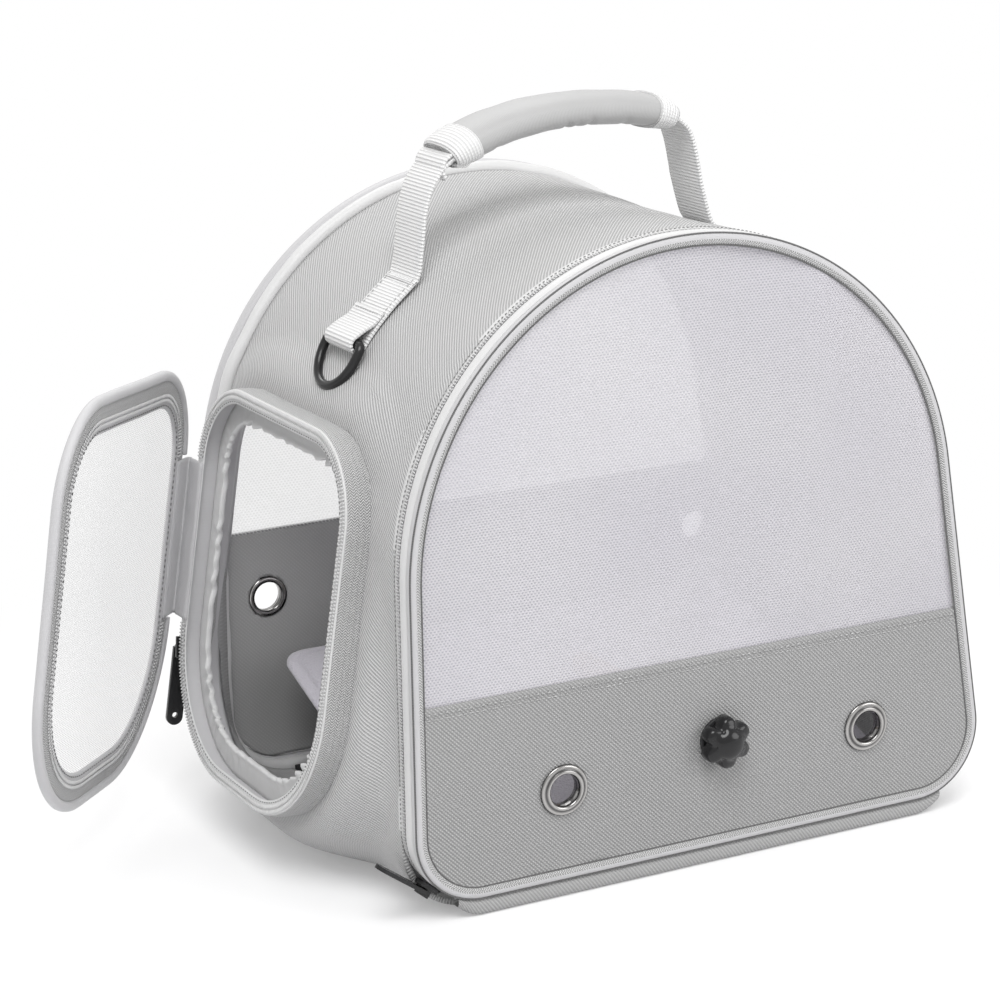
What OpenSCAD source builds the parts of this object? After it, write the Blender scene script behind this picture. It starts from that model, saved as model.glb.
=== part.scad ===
// Soft-sided bird travel carrier with an arched body, a zipped front panel that folds down,
// a zipped side door, a perch held by a star knob, a padded handle and two D-rings.
// X is right seen from the front, the front faces -Y, +Z is up.
// The origin is the middle of the underside.

/* [Body] */
// Width of the body at its base
body_w = 326; // [300:1:352]
// Height of the body
body_h = 320; // [310:1:350]
// Depth of the body from the front face to the back face
body_d = 240; // [225:1:300]
// How much smaller than half the body's width the radius of the arched top is
arch_in = 10; // [8:0.5:17]
// Radius of the bottom corners
corner_r = 36; // [24:1:40]
// Sideways settle of the soft top, negative to the left
top_lean = -10; // [-12:1:12]
// Thickness of the padded fabric
wall_t = 3; // [2:0.5:4]

/* [Front panel] */
// Radius of the front piping
front_piping_r = 3; // [2.5:0.25:4]
// Depth of the zip tape behind the front piping
skirt_d = 8; // [5:0.5:14]
// Height of the hem under the front panel
hem_h = 9; // [6:0.5:14]
// Height of the solid band below the front window
front_band_z = 110; // [100:1:130]
// Thickness of the band panels
band_t = 3; // [2:0.5:5]
// Thickness of the mesh sheets
mesh_t = 1; // [0.6:0.2:1.6]
// Forward fold of the front panel in the drawn pose
panel_open = 0; // [0:5:75]

/* [Back panel] */
// Radius of the piping round the back edge
back_piping_r = 4; // [3:0.25:5]
// Depth of the smooth binding on the back edge
back_binding_d = 8; // [5:0.5:12]
// How far the back rim stands out from the side fabric
back_rim_out = 4; // [1:0.25:5]
// Height of the solid band below the back window
back_band_z = 137; // [125:1:160]

/* [Eyelets] */
// Radius of an eyelet flange
eyelet_r = 13; // [11:0.5:16]
// Radius of an eyelet opening
eyelet_hole_r = 8; // [6:0.5:9]
// Distance of each front eyelet from the knob
front_eyelet_x = 88; // [60:1:95]
// Height of the front eyelets
front_eyelet_z = 56; // [48:1:64]
// Distance of each back eyelet from the side of the body
back_eyelet_in = 29; // [25:1:73]
// Height of the back eyelets
back_eyelet_z = 100; // [80:1:105]

/* [Perch] */
// Sideways place of the knob and the perch
fitting_x = 5; // [-10:1:10]
// Height of the perch
perch_z = 66; // [60:1:78]
// Radius of the perch
perch_r = 7; // [6:0.5:9]
// Length of the perch
perch_l = 132; // [90:1:135]
// Radius of the threaded stud
stud_r = 3; // [2.5:0.25:3.5]
// Radius of the washers
washer_r = 11; // [9:0.5:13]
// Radius from the knob's centre to the centre of a lobe
knob_lobe_c = 9.5; // [8.5:0.25:11]
// Radius of a knob lobe
knob_lobe_r = 4; // [3.5:0.25:5]
// Thickness of the knob
knob_t = 13; // [10:0.5:16]

/* [Side door] */
// Distance from the front zip to the door frame
door_front_in = 24; // [18:1:34]
// Distance from the door frame to the back piping
door_back_in = 1.5; // [1:0.5:6]
// Height of the door frame
door_h = 200; // [184:1:204]
// Height of the door's middle
door_z = 128; // [124:1:132]
// Radius of the door's upper corners
door_top_r = 44; // [36:1:70]
// Radius of the door's lower corners
door_bottom_r = 68; // [50:1:84]
// Lean of the door frame, with its top inwards
door_lean = 9; // [6:1:10]
// How far the middle of the frame's foot stands off the side
door_off = 7; // [5:1:10]
// Height of the frame's wall above its foot
frame_h = 13; // [10:1:18]
// Width of the tape round the door flap
door_rim_w = 14; // [10:1:20]
// Length of the fabric hinge
hinge_l = 84; // [60:1:88]
// Height of the middle of the fabric hinge
hinge_z = 140; // [134:1:142]
// Opening angle of the door in the drawn pose
door_open = 41; // [0:1:90]
// Reach of the gathered collar into the opening
collar_w = 16; // [10:1:22]

/* [Handle] */
// Half the distance between the two handle straps
handle_half = 80; // [70:1:84]
// Sideways place of the handle from the middle of the arch
handle_shift = -8; // [-10:1:10]
// Height of the grip above the strap ends
handle_rise = 44; // [38:1:70]
// Width of the webbing
strap_w = 30; // [24:1:34]
// Thickness of the webbing
strap_t = 2; // [1.6:0.2:3]
// Width of the padded grip
grip_w = 36; // [36:1:42]
// Thickness of the padded grip
grip_t = 17; // [13:0.5:20]
// Length of webbing sewn down at each strap end
anchor_l = 43; // [30:1:50]
// Radius of the D-ring wire
ring_wire_r = 2.4; // [1.8:0.1:2.6]

/* [Floor] */
// Gap between the floor mat and the side walls
mat_side_in = 25; // [24:1:50]
// Gap between the floor mat and the back piping
mat_back_in = 5; // [4:1:40]
// Thickness of the floor mat
mat_t = 6; // [4:0.5:8]
// Lift of the mat's back edge in the drawn pose
mat_lift = 20; // [0:1:20]
// Thickness of the floor board
board_t = 2.5; // [1.5:0.5:4]

/* [Zip pulls] */
// Length of a zip puller
puller_l = 43; // [25:1:45]
// Width of a zip puller
puller_w = 9; // [7:0.5:10]

/* [Hidden] */
$fn = 96;

// Clearance between pieces that move against each other
gap = 0.3;
// Clearance between sewn pieces
seam = 0.1;
// Clearance between the knob, its washer and the panel
run = 0.05;
// Longer than anything in the model
far = 1000;

front_y = -body_d / 2;
back_y = body_d / 2;
arch_r = body_w / 2 - arch_in;
arch_z = body_h - arch_r;
back_eyelet_x = body_w / 2 - back_eyelet_in;
base_half = body_w / 2 - corner_r;

// Fabric face of the front panel and the planes behind it
panel_y = front_y + 1;
skirt_y0 = front_y + 2 * front_piping_r + seam;
zip_y = skirt_y0 + skirt_d;
coil_half = 1.6;
coil_out = 0.6;
tape_t = 2;
tape_in = 0.5;
gusset_y0 = zip_y + coil_half + 5;
panel_floor = hem_h + gap;

// Planes of the back rim
binding_y0 = back_y - back_binding_d;
piping_y = binding_y0 - back_piping_r - seam;
gusset_y1 = piping_y - back_piping_r - seam;
back_rim_in = 2 * back_piping_r - back_rim_out;
back_panel_y = back_y - back_binding_d / 2;

// Door layers, counted outward from the side fabric
flange_t = 3;
coil_t = 2;
hinge_fabric_t = 1;
flap_layer = frame_h + coil_t + gap;
rim_layer = flap_layer + coil_t;
rim_t = 3;
bead_r = 2.5;
// How far the door's cut reaches to each side of the frame's foot
door_reach = 60;
coil_ring_out = 3;
coil_ring_in = 8;
door_front = gusset_y0 + door_front_in;
door_back = gusset_y1 - door_back_in;
door_x = -body_w / 2 - door_off;
hinge_out = flap_layer - gap / 2;
hinge_y = door_back + 2 * bead_r + 1;
hinge_z0 = hinge_z - door_z - hinge_l / 2;
// Radius of the roll of cloth the door turns on
roll_r = 1.6;

// Perch fittings, from the front
washer_t = 2;
knob_y1 = panel_y - washer_t - 2 * run;
knob_y0 = knob_y1 - knob_t;
stud_cap = 3;
stud_hole_r = stud_r + 0.3;
stud_depth = 24;

// Handle and its sewn ends
strap_axis_gap = 2;
loop_r = ring_wire_r + gap + strap_t;
ring_leg = 6;
ring_corner_r = 3;
ring_tilt = 8;
ring_half = strap_w / 2 + ring_corner_r + gap;

mat_front_y = gusset_y0 + 6;
mat_w = body_w - 2 * mat_side_in;
mat_d = gusset_y1 - mat_back_in - mat_front_y;
mat_corner_r = 14;
mat_bead = 9;
floor_z = wall_t + board_t;

// Circles of an outline, each as x, y and radius, in anticlockwise order
function body_loop(floor_h) = [
    [-base_half, floor_h + corner_r, corner_r],
    [base_half, floor_h + corner_r, corner_r],
    [top_lean, arch_z, arch_r]
];
door_half = door_h / 2;
door_loop = [
    [door_front + door_bottom_r, door_bottom_r - door_half, door_bottom_r],
    [door_back - door_bottom_r, door_bottom_r - door_half, door_bottom_r],
    [door_back - door_top_r, door_half - door_top_r, door_top_r],
    [door_front + door_top_r, door_half - door_top_r, door_top_r]
];

// Angle of the outward normal of the line that touches circles a and b
function lean_of(a, b) = atan2(b.y - a.y, b.x - a.x) - acos((a.z - b.z) / norm([b.x - a.x, b.y - a.y]));
function leans(c) = [for (i = [0 : len(c) - 1]) lean_of(c[i], c[(i + 1) % len(c)])];
function turn(a0, a1) = a1 - a0 - 360 * floor((a1 - a0) / 360);
function on_circle(c, grow, a) = [c.x + (c.z + grow) * cos(a), c.y + (c.z + grow) * sin(a)];

// Slice of the plane from a circle's centre, where the outline follows that circle
module slice2d(c, t, i, reach) {
    a0 = t[(i + len(c) - 1) % len(c)];
    da = turn(a0, t[i]);
    translate([c[i].x, c[i].y]) polygon([
        [0, 0],
        for (k = [0 : 3]) [reach * cos(a0 + k * da / 3), reach * sin(a0 + k * da / 3)]
    ]);
}

// Filled outline round the circles, grown or shrunk
module loop2d(c, grow = 0) {
    n = len(c);
    t = leans(c);
    for (i = [0 : n - 1]) intersection() {
        translate([c[i].x, c[i].y]) circle(r = c[i].z + grow);
        slice2d(c, t, i, 2 * (c[i].z + grow));
    }
    polygon([for (i = [0 : n - 1]) each [
        [c[i].x, c[i].y],
        on_circle(c[i], grow, t[i]),
        on_circle(c[(i + 1) % n], grow, t[i])
    ]]);
}

// Band along the outline between two growths
module ring2d(c, outer, inner) {
    n = len(c);
    t = leans(c);
    for (i = [0 : n - 1]) {
        next = c[(i + 1) % n];
        intersection() {
            translate([c[i].x, c[i].y]) difference() {
                circle(r = c[i].z + outer);
                circle(r = c[i].z + inner);
            }
            slice2d(c, t, i, 2 * (c[i].z + outer));
        }
        polygon([
            on_circle(c[i], inner, t[i]), on_circle(c[i], outer, t[i]),
            on_circle(next, outer, t[i]), on_circle(next, inner, t[i])
        ]);
    }
}

// Carries the child profile round the circles; its x is outward and its y is along the axis
module sweep_loop(c) {
    n = len(c);
    t = leans(c);
    for (i = [0 : n - 1]) {
        a0 = t[(i + n - 1) % n];
        translate([c[i].x, c[i].y, 0]) rotate(a0) rotate_extrude(angle = turn(a0, t[i]))
            translate([c[i].z, 0]) children();
    }
    for (i = [0 : n - 1]) {
        p = on_circle(c[i], 0, t[i]);
        q = on_circle(c[(i + 1) % n], 0, t[i]);
        translate([q.x, q.y, 0]) rotate(t[i]) rotate([90, 0, 0]) linear_extrude(norm(q - p)) children();
    }
}

// Extrudes an outline seen from the front between two depths
module deep(y0, y1) {
    translate([0, y1, 0]) rotate([90, 0, 0]) linear_extrude(y1 - y0) children();
}

// Extrudes an outline seen from the side between two widths
module across(x0, x1) {
    translate([x0, 0, 0]) rotate([90, 0, 90]) linear_extrude(x1 - x0) children();
}

// Lays a cylinder along Y
module rod_y(x, y0, y1, z, r) {
    translate([x, y0, z]) rotate([-90, 0, 0]) cylinder(r = r, h = y1 - y0);
}

module above(z) {
    intersection() {
        children();
        translate([-far / 2, -far / 2, z]) cube(far);
    }
}

// Part of the body's outline rings that a zip runs along, without the straight base
module without_base() {
    difference() {
        children();
        translate([-base_half, -far / 2, -far / 2]) cube([2 * base_half, far, far / 2 + corner_r]);
    }
}

// Puts what is drawn about the door's middle into its leaning plane, with -x outward
module in_door_plane() {
    translate([door_x, 0, door_z]) rotate([0, door_lean, 0]) children();
}

module door_band(out0, out1, outer, inner) {
    across(-out1, -out0) ring2d(door_loop, outer, inner);
}

module hinge_stretch(grow) {
    translate([-far / 2, (door_front + door_back) / 2, hinge_z0 - grow]) cube([far, far, hinge_l + 2 * grow]);
}

// Turns the door flap about its fabric hinge, from closed to its drawn pose
module opened() {
    in_door_plane() translate([-hinge_out, hinge_y, 0]) rotate(-door_open) translate([hinge_out, -hinge_y, 0])
        children();
}

module gusset_shell() color("lightgray") difference() {
    deep(gusset_y0, gusset_y1) ring2d(body_loop(0), 0, -wall_t);
    translate([-base_half, -far / 2, -1]) cube([2 * base_half, far, wall_t + 2]);
    in_door_plane() across(-door_reach, door_reach) loop2d(door_loop, -flange_t);
}

module base_panel() color("gray")
    translate([-base_half, gusset_y0, 0]) cube([2 * base_half, gusset_y1 - gusset_y0, wall_t]);

module base_board() color("black")
    translate([-base_half + 1, gusset_y0 + 1, wall_t])
        cube([2 * base_half - 2, gusset_y1 - gusset_y0 - 2, board_t]);

module base_hem() color("gainsboro")
    translate([-base_half + 1, front_y, 0]) cube([2 * base_half - 2, gusset_y0 - front_y, hem_h]);

module floor_mat() color("lavender")
    translate([0, mat_front_y, floor_z + gap]) rotate([mat_lift, 0, 0]) {
        mat_sheet(0, mat_t - 1.5);
        mat_sheet(mat_bead, mat_t);
    }

module mat_sheet(inset, h) {
    edge = mat_corner_r - inset;
    translate([0, mat_d / 2, 0]) linear_extrude(h) {
        square([mat_w - 2 * inset, mat_d - 2 * inset - 2 * edge], center = true);
        square([mat_w - 2 * inset - 2 * edge, mat_d - 2 * inset], center = true);
        for (sx = [-1, 1], sy = [-1, 1])
            translate([sx * (mat_w / 2 - inset - edge), sy * (mat_d / 2 - inset - edge)]) circle(r = edge);
    }
}

module gusset_zip_tape() color("white") without_base()
    deep(zip_y + coil_half, gusset_y0) ring2d(body_loop(panel_floor), -tape_in, -tape_in - tape_t);

module gusset_zip_coil() color("silver") without_base()
    deep(zip_y + gap / 2, zip_y + coil_half) ring2d(body_loop(panel_floor), coil_out, -tape_in - tape_t);

// Piping round an outline; out is how far its middle lies outside the outline
module rim_piping(c, y, out, r) {
    deep(y - r, y + r) ring2d(c, out + r, out - r);
}

module back_piping() color("whitesmoke")
    rim_piping(body_loop(back_rim_out), piping_y, back_rim_out - back_piping_r, back_piping_r);

module back_binding() color("lightgray")
    deep(binding_y0, back_y) ring2d(body_loop(back_rim_out), back_rim_out, -back_rim_in);

module back_band_panel() color("gray") intersection() {
    difference() {
        deep(back_panel_y - band_t, back_panel_y) loop2d(body_loop(back_rim_out), -back_rim_in - seam);
        for (s = [-1, 1]) rod_y(s * back_eyelet_x, binding_y0 - far, back_y, back_eyelet_z, eyelet_hole_r + 1);
    }
    translate([-far / 2, 0, 0]) cube([far, far, back_band_z]);
}

module back_window_mesh() color("white") above(back_band_z)
    deep(back_panel_y - band_t / 2 - mesh_t / 2, back_panel_y - band_t / 2 + mesh_t / 2)
        loop2d(body_loop(back_rim_out), -back_rim_in - seam);

// Pressed metal eyelet through a sheet; its domed face lies on the outer side of the sheet
module eyelet(t) {
    rotate([90, 0, 0]) rotate_extrude() difference() {
        union() {
            translate([eyelet_hole_r, -t]) square([1, t]);
            translate([eyelet_hole_r, 0]) square([eyelet_r - eyelet_hole_r, 1]);
            translate([(eyelet_r + eyelet_hole_r) / 2, 1]) intersection() {
                circle(d = eyelet_r - eyelet_hole_r);
                translate([-eyelet_r, 0]) square([2 * eyelet_r, 1.4]);
            }
            translate([eyelet_hole_r, -t - 1]) square([eyelet_r - eyelet_hole_r - 2, 1]);
        }
        translate([-1, -far / 2]) square([1, far]);
    }
}

module back_eyelets() color("silver")
    for (s = [-1, 1]) translate([s * back_eyelet_x, back_panel_y, back_eyelet_z]) mirror([0, 1, 0]) eyelet(band_t);

module front_piping() color("whitesmoke")
    rim_piping(body_loop(panel_floor), front_y + front_piping_r, -front_piping_r, front_piping_r);

module front_skirt_tape() color("white") without_base()
    deep(skirt_y0, zip_y - coil_half) ring2d(body_loop(panel_floor), -tape_in, -tape_in - tape_t);

module front_zip_coil() color("silver") without_base()
    deep(zip_y - coil_half, zip_y - gap / 2) ring2d(body_loop(panel_floor), coil_out, -tape_in - tape_t);

module front_window_mesh() color("white") above(front_band_z)
    deep(panel_y + band_t / 2 - mesh_t / 2, panel_y + band_t / 2 + mesh_t / 2)
        loop2d(body_loop(panel_floor), -2 * front_piping_r - seam);

module front_band_panel() color("darkgray") intersection() {
    difference() {
        deep(panel_y, panel_y + band_t) loop2d(body_loop(panel_floor), -2 * front_piping_r - seam);
        for (s = [-1, 1])
            rod_y(fitting_x + s * front_eyelet_x, front_y - 1, front_y + far, front_eyelet_z, eyelet_hole_r + 1);
        rod_y(fitting_x, front_y - 1, front_y + far, perch_z, stud_hole_r);
    }
    translate([-far / 2, -far, 0]) cube([far, far, front_band_z]);
}

module front_eyelets() color("silver")
    for (s = [-1, 1]) translate([fitting_x + s * front_eyelet_x, panel_y, front_eyelet_z]) eyelet(band_t);

// Zip slider lying on its coil: x along the zip, y across it, z away from the fabric
module slider_body(l, w) {
    translate([-l / 2, -w / 2, 0]) cube([l, w, 1.4]);
    translate([-l / 2, -w / 2 + 1, 1.4]) cube([l, w - 2, 1.2]);
    difference() {
        translate([-l / 3, -1.5, 2.6]) cube([2 * l / 3, 3, 4]);
        translate([0, w / 2, pin_rise]) rotate([90, 0, 0]) cylinder(r = 1.3, h = w);
    }
}

// Puller hanging from a pin at the origin towards -x, flat on the fabric
module puller_body(l, w) {
    rotate([90, 0, 0]) cylinder(r = 1, h = w - 2, center = true);
    for (s = [-1, 1]) translate([-8, s * (w / 2 - 1) - 1, -1]) cube([8, 2, 2]);
    difference() {
        translate([0, 0, -1]) linear_extrude(2) {
            translate([-l + w / 2, -w / 2]) square([l - w / 2 - 6, w]);
            translate([-l + w / 2, 0]) circle(r = w / 2);
        }
        translate([-l + w / 2 + 1, 0, -2]) cylinder(r = w / 2 - 3, h = 4);
    }
}

slider_l = 11;
slider_w = 9;
slider_rise = coil_out + gap;
front_slider_a = 230;
door_slider_a = -12;
pin_rise = 4.1;

// Places a slider on the front zip's lower left corner
module on_front_zip() {
    c = body_loop(panel_floor)[0];
    translate([c.x, zip_y, c.y]) rotate([0, -front_slider_a, 0]) translate([c.z + slider_rise, 0, 0])
        rotate([0, 90, 0]) children();
}

// Places a slider below the fabric hinge, on the outer side of the door frame's zip
module on_door_zip() {
    c = door_loop[1];
    in_door_plane() translate([slider_w / 2 - frame_h - coil_t, c.x, c.y]) rotate([door_slider_a, 0, 0])
        translate([0, c.z + gap, 0]) rotate([-90, 0, 0]) rotate(90) children();
}

module front_zip_slider() color("black") on_front_zip() slider_body(slider_l, slider_w);

module front_zip_puller() color("black") on_front_zip()
    translate([0, 0, pin_rise]) rotate([0, 0, 180]) rotate([0, 4, 0]) puller_body(puller_l * 0.7, puller_w);

module perch_dowel() color("burlywood") difference() {
    union() {
        rod_y(fitting_x, panel_y + band_t + washer_t, panel_y + perch_l, perch_z, perch_r);
        translate([fitting_x, panel_y + perch_l, perch_z]) sphere(r = perch_r);
    }
    rod_y(fitting_x, panel_y, panel_y + band_t + washer_t + stud_depth, perch_z, stud_r);
}

module perch_stud() color("silver")
    rod_y(fitting_x, knob_y0 + stud_cap, panel_y + band_t + washer_t + stud_depth, perch_z, stud_r);

module washer(y, bore_r) {
    difference() {
        rod_y(fitting_x, y, y + washer_t, perch_z, washer_r);
        rod_y(fitting_x, y - 1, y + washer_t + 1, perch_z, bore_r);
    }
}

module perch_washer_inner() color("dimgray") washer(panel_y + band_t, stud_r);

module perch_washer_outer() color("dimgray") washer(panel_y - washer_t - run, stud_hole_r);

module star_knob() color("black") translate([fitting_x, knob_y1, perch_z]) rotate([90, 0, 0]) difference() {
    union() {
        cylinder(r = knob_lobe_c, h = knob_t - 2);
        for (i = [0 : 5]) rotate(30 + 60 * i) translate([knob_lobe_c, 0, 1.5]) cylinder(r = knob_lobe_r, h = knob_t - 4);
        translate([0, 0, knob_t - 2]) cylinder(r1 = knob_lobe_c - 1, r2 = knob_lobe_c - 4, h = 2);
    }
    translate([0, 0, -1]) cylinder(r = stud_hole_r, h = knob_t - stud_cap + 1 + 0.3);
    for (i = [0 : 5]) rotate(60 * i) translate([knob_lobe_c + 5, 0, -1]) cylinder(r = 4, h = knob_t + 2);
}

module door_frame_flange() color("whitesmoke") difference() {
    in_door_plane() door_band(-door_reach, frame_h, 0, -flange_t);
    deep(-far / 2, far / 2) loop2d(body_loop(0));
}

module door_frame_coil() color("silver") in_door_plane() difference() {
    door_band(frame_h, frame_h + coil_t, 0, -coil_ring_in);
    hinge_stretch(1);
}

module frame_hinge_strip() color("lightgray") in_door_plane() intersection() {
    door_band(frame_h, frame_h + hinge_fabric_t, hinge_y - door_back - roll_r - gap, -coil_ring_in);
    hinge_stretch(0);
}

// Points round an outline with the angle of their normals, at about the given step
function loop_points(c, grow, step) =
    let (n = len(c), t = leans(c))
    [for (i = [0 : n - 1])
        let (a0 = t[(i + n - 1) % n], da = turn(a0, t[i]), r = c[i].z + grow,
             m = ceil(da * PI / 180 * r / step),
             p = on_circle(c[i], grow, t[i]), q = on_circle(c[(i + 1) % n], grow, t[i]),
             k = ceil(norm(q - p) / step))
        each concat(
            [for (j = [0 : m - 1]) let (a = a0 + da * j / m) [each on_circle(c[i], grow, a), a]],
            [for (j = [0 : k - 1]) [each (p + (q - p) * j / k), t[i]]])];

collar_t = 2;
collar_folds = 34;
collar_wave = 2.4;
collar_rows = 3;

// Point of the collar: s is the place round the opening, row counts from the frame inwards
function collar_point(p, s, row, out) =
    let (share = row / (collar_rows - 1),
         wave = sin(360 * collar_folds * s) * collar_wave * share,
         in = share * (collar_w + wave / 2),
         y = p.x - in * cos(p.z), z = p.y - in * sin(p.z))
    [-out - wave - share, y, z];

module elastic_collar() color("lightgray") {
    ring = loop_points(door_loop, -flange_t - seam, 4.8);
    n = len(ring);
    width = 2 * collar_rows;
    points = [for (i = [0 : n - 1]) each concat(
        [for (row = [0 : collar_rows - 1]) collar_point(ring[i], i / n, row, collar_wave + collar_t)],
        [for (row = [collar_rows - 1 : -1 : 0]) collar_point(ring[i], i / n, row, collar_wave)])];
    in_door_plane() polyhedron(points, [for (i = [0 : n - 1], k = [0 : width - 1])
        let (a = i * width + k, b = i * width + (k + 1) % width,
             c = ((i + 1) % n) * width + (k + 1) % width, d = ((i + 1) % n) * width + k)
        each [[a, b, c], [a, c, d]]]);
}

module door_rim() color("whitesmoke") opened() door_band(rim_layer, rim_layer + rim_t, 0, -door_rim_w);

module door_piping() color("lightgray") opened() difference() {
    door_band(rim_layer - 1, rim_layer + rim_t + 1, 2 * bead_r, seam);
    hinge_stretch(1);
}

module door_coil() color("silver") opened() difference() {
    door_band(flap_layer, rim_layer, -coil_ring_out, -coil_ring_in);
    hinge_stretch(1);
}

module door_mesh() color("white") opened()
    across(-rim_layer - rim_t / 2 - mesh_t / 2, -rim_layer - rim_t / 2 + mesh_t / 2)
        loop2d(door_loop, -door_rim_w - seam);

module door_hinge_strip() color("lightgray") opened() {
    intersection() {
        door_band(rim_layer - hinge_fabric_t, rim_layer, hinge_y - door_back, -coil_ring_in);
        hinge_stretch(0);
    }
    translate([-hinge_out, hinge_y, hinge_z0]) cylinder(r = roll_r, h = hinge_l);
}

module door_zip_slider() color("black") on_door_zip() slider_body(slider_l, slider_w);

module door_zip_puller() color("black") on_door_zip()
    translate([0, 0, pin_rise]) rotate([0, 0, 180]) rotate([0, -door_slider_a, 0]) puller_body(puller_l, puller_w);

// Where a handle strap ends on the arch, as an angle from straight up, positive to the right
function strap_x(side) = top_lean + handle_shift + side * handle_half;
function strap_a(side) = asin((strap_x(side) - top_lean) / arch_r);
strap_top = max([for (s = [-1, 1]) arch_z + arch_r * cos(strap_a(s))]);
handle_z = strap_top + strap_t + strap_w / 2 + strap_axis_gap;
anchor_a = anchor_l / arch_r * 180 / PI;
loop_a = loop_r / (arch_r + loop_r) * 180 / PI;

// Middle of a strap's lower loop, with z outward
module at_loop(side) {
    a = side * (abs(strap_a(side)) + anchor_a + loop_a);
    translate([top_lean, 0, arch_z]) rotate([0, a, 0]) translate([0, 0, arch_r + loop_r + seam]) children();
}

// Strip of webbing that lies along the arch between two angles
module arch_strip(a0, a1) {
    intersection() {
        difference() {
            circle(r = arch_r + strap_t);
            circle(r = arch_r);
        }
        polygon([[0, 0], for (k = [0 : 3]) 2 * arch_r * [cos(a0 + k * (a1 - a0) / 3), sin(a0 + k * (a1 - a0) / 3)]]);
    }
}

module strap_anchor(side) {
    a = abs(strap_a(side));
    deep(-strap_w / 2, strap_w / 2) difference() {
        union() {
            translate([top_lean, arch_z])
                arch_strip(90 - side * (a - loop_a), 90 - side * (a + anchor_a + loop_a / 2));
            difference() {
                translate([strap_x(side) - strap_t / 2, arch_z])
                    square([strap_t, handle_z - strap_w / 2 - gap - arch_z]);
                translate([top_lean, arch_z]) circle(r = arch_r + strap_t / 2);
            }
            translate([top_lean, arch_z]) rotate(90 - side * (a + anchor_a + loop_a))
                translate([arch_r + loop_r + seam, 0]) circle(r = loop_r);
        }
        translate([top_lean, arch_z]) rotate(90 - side * (a + anchor_a + loop_a))
            translate([arch_r + loop_r + seam, 0]) circle(r = loop_r - strap_t);
    }
}

module strap_anchor_left() color("whitesmoke") strap_anchor(-1);

module strap_anchor_right() color("whitesmoke") strap_anchor(1);

module d_ring(side) {
    at_loop(side) mirror([side < 0 ? 1 : 0, 0, 0]) rotate([0, ring_tilt, 0]) sweep_loop([
        [ring_corner_r, ring_corner_r - ring_half, ring_corner_r],
        [ring_leg, 0, ring_half],
        [ring_corner_r, ring_half - ring_corner_r, ring_corner_r]
    ]) circle(r = ring_wire_r);
}

module d_ring_left() color("black") d_ring(-1);

module d_ring_right() color("black") d_ring(1);

// Course of the handle as shares of its half span and of its rise
handle_course = [
    [-1.00, 0.00], [-0.96, 0.29], [-0.86, 0.53], [-0.75, 0.66], [-0.48, 0.85],
    [-0.15, 0.98], [0.30, 1.00], [0.65, 0.93], [0.87, 0.76], [0.93, 0.48], [0.98, 0.00]
];
grip_first = 3;
grip_last = 8;

function handle_point(k) = [top_lean + handle_shift + k.x * handle_half, handle_z + k.y * handle_rise];

// Rounds a line of points, keeping its ends
function eased(p) = [
    p[0],
    for (i = [0 : len(p) - 2]) each [0.75 * p[i] + 0.25 * p[i + 1], 0.25 * p[i] + 0.75 * p[i + 1]],
    p[len(p) - 1]
];

function normal_at(p, i) =
    let (d = p[min(i + 1, len(p) - 1)] - p[max(i - 1, 0)]) [-d.y, d.x] / norm(d);

module band2d(p, t) {
    polygon(concat(
        [for (i = [0 : len(p) - 1]) p[i] + normal_at(p, i) * t / 2],
        [for (i = [len(p) - 1 : -1 : 0]) p[i] - normal_at(p, i) * t / 2]));
}

handle_line = eased(eased([for (k = handle_course) handle_point(k)]));

module handle_strap() color("whitesmoke") {
    ends = [handle_line[0], handle_line[len(handle_line) - 1]];
    deep(-strap_w / 2, strap_w / 2) band2d(handle_line, strap_t);
    for (e = ends) intersection() {
        translate([e.x - strap_t / 2, 0, e.y]) rotate([0, 90, 0]) cylinder(r = strap_w / 2, h = strap_t);
        translate([e.x - strap_t, -strap_w, e.y - strap_w]) cube([2 * strap_t, 2 * strap_w, strap_w]);
    }
}

grip_sides = 16;
// Half sections: an outer soft oval and an inner slot, with the same count of points
function soft(v) = sign(v) * pow(abs(v), 0.75);
function oval(a, w, t) = [w / 2 * soft(cos(a)), t / 2 * soft(sin(a))];
function slot(k, w, t) =
    let (q = k % 8, side = k < 8 ? 1 : -1)
    q == 0 ? [side * w / 2, 0] : [side * w / 2 * (1 - (q - 1) / 3), side * t / 2];

// Numbers of the grip's outer and inner points: i is the ring along it, k the place round it
function at(i, k) = 2 * i * grip_sides + k % grip_sides;
function inner(i, k) = at(i, k) + grip_sides;

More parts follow.
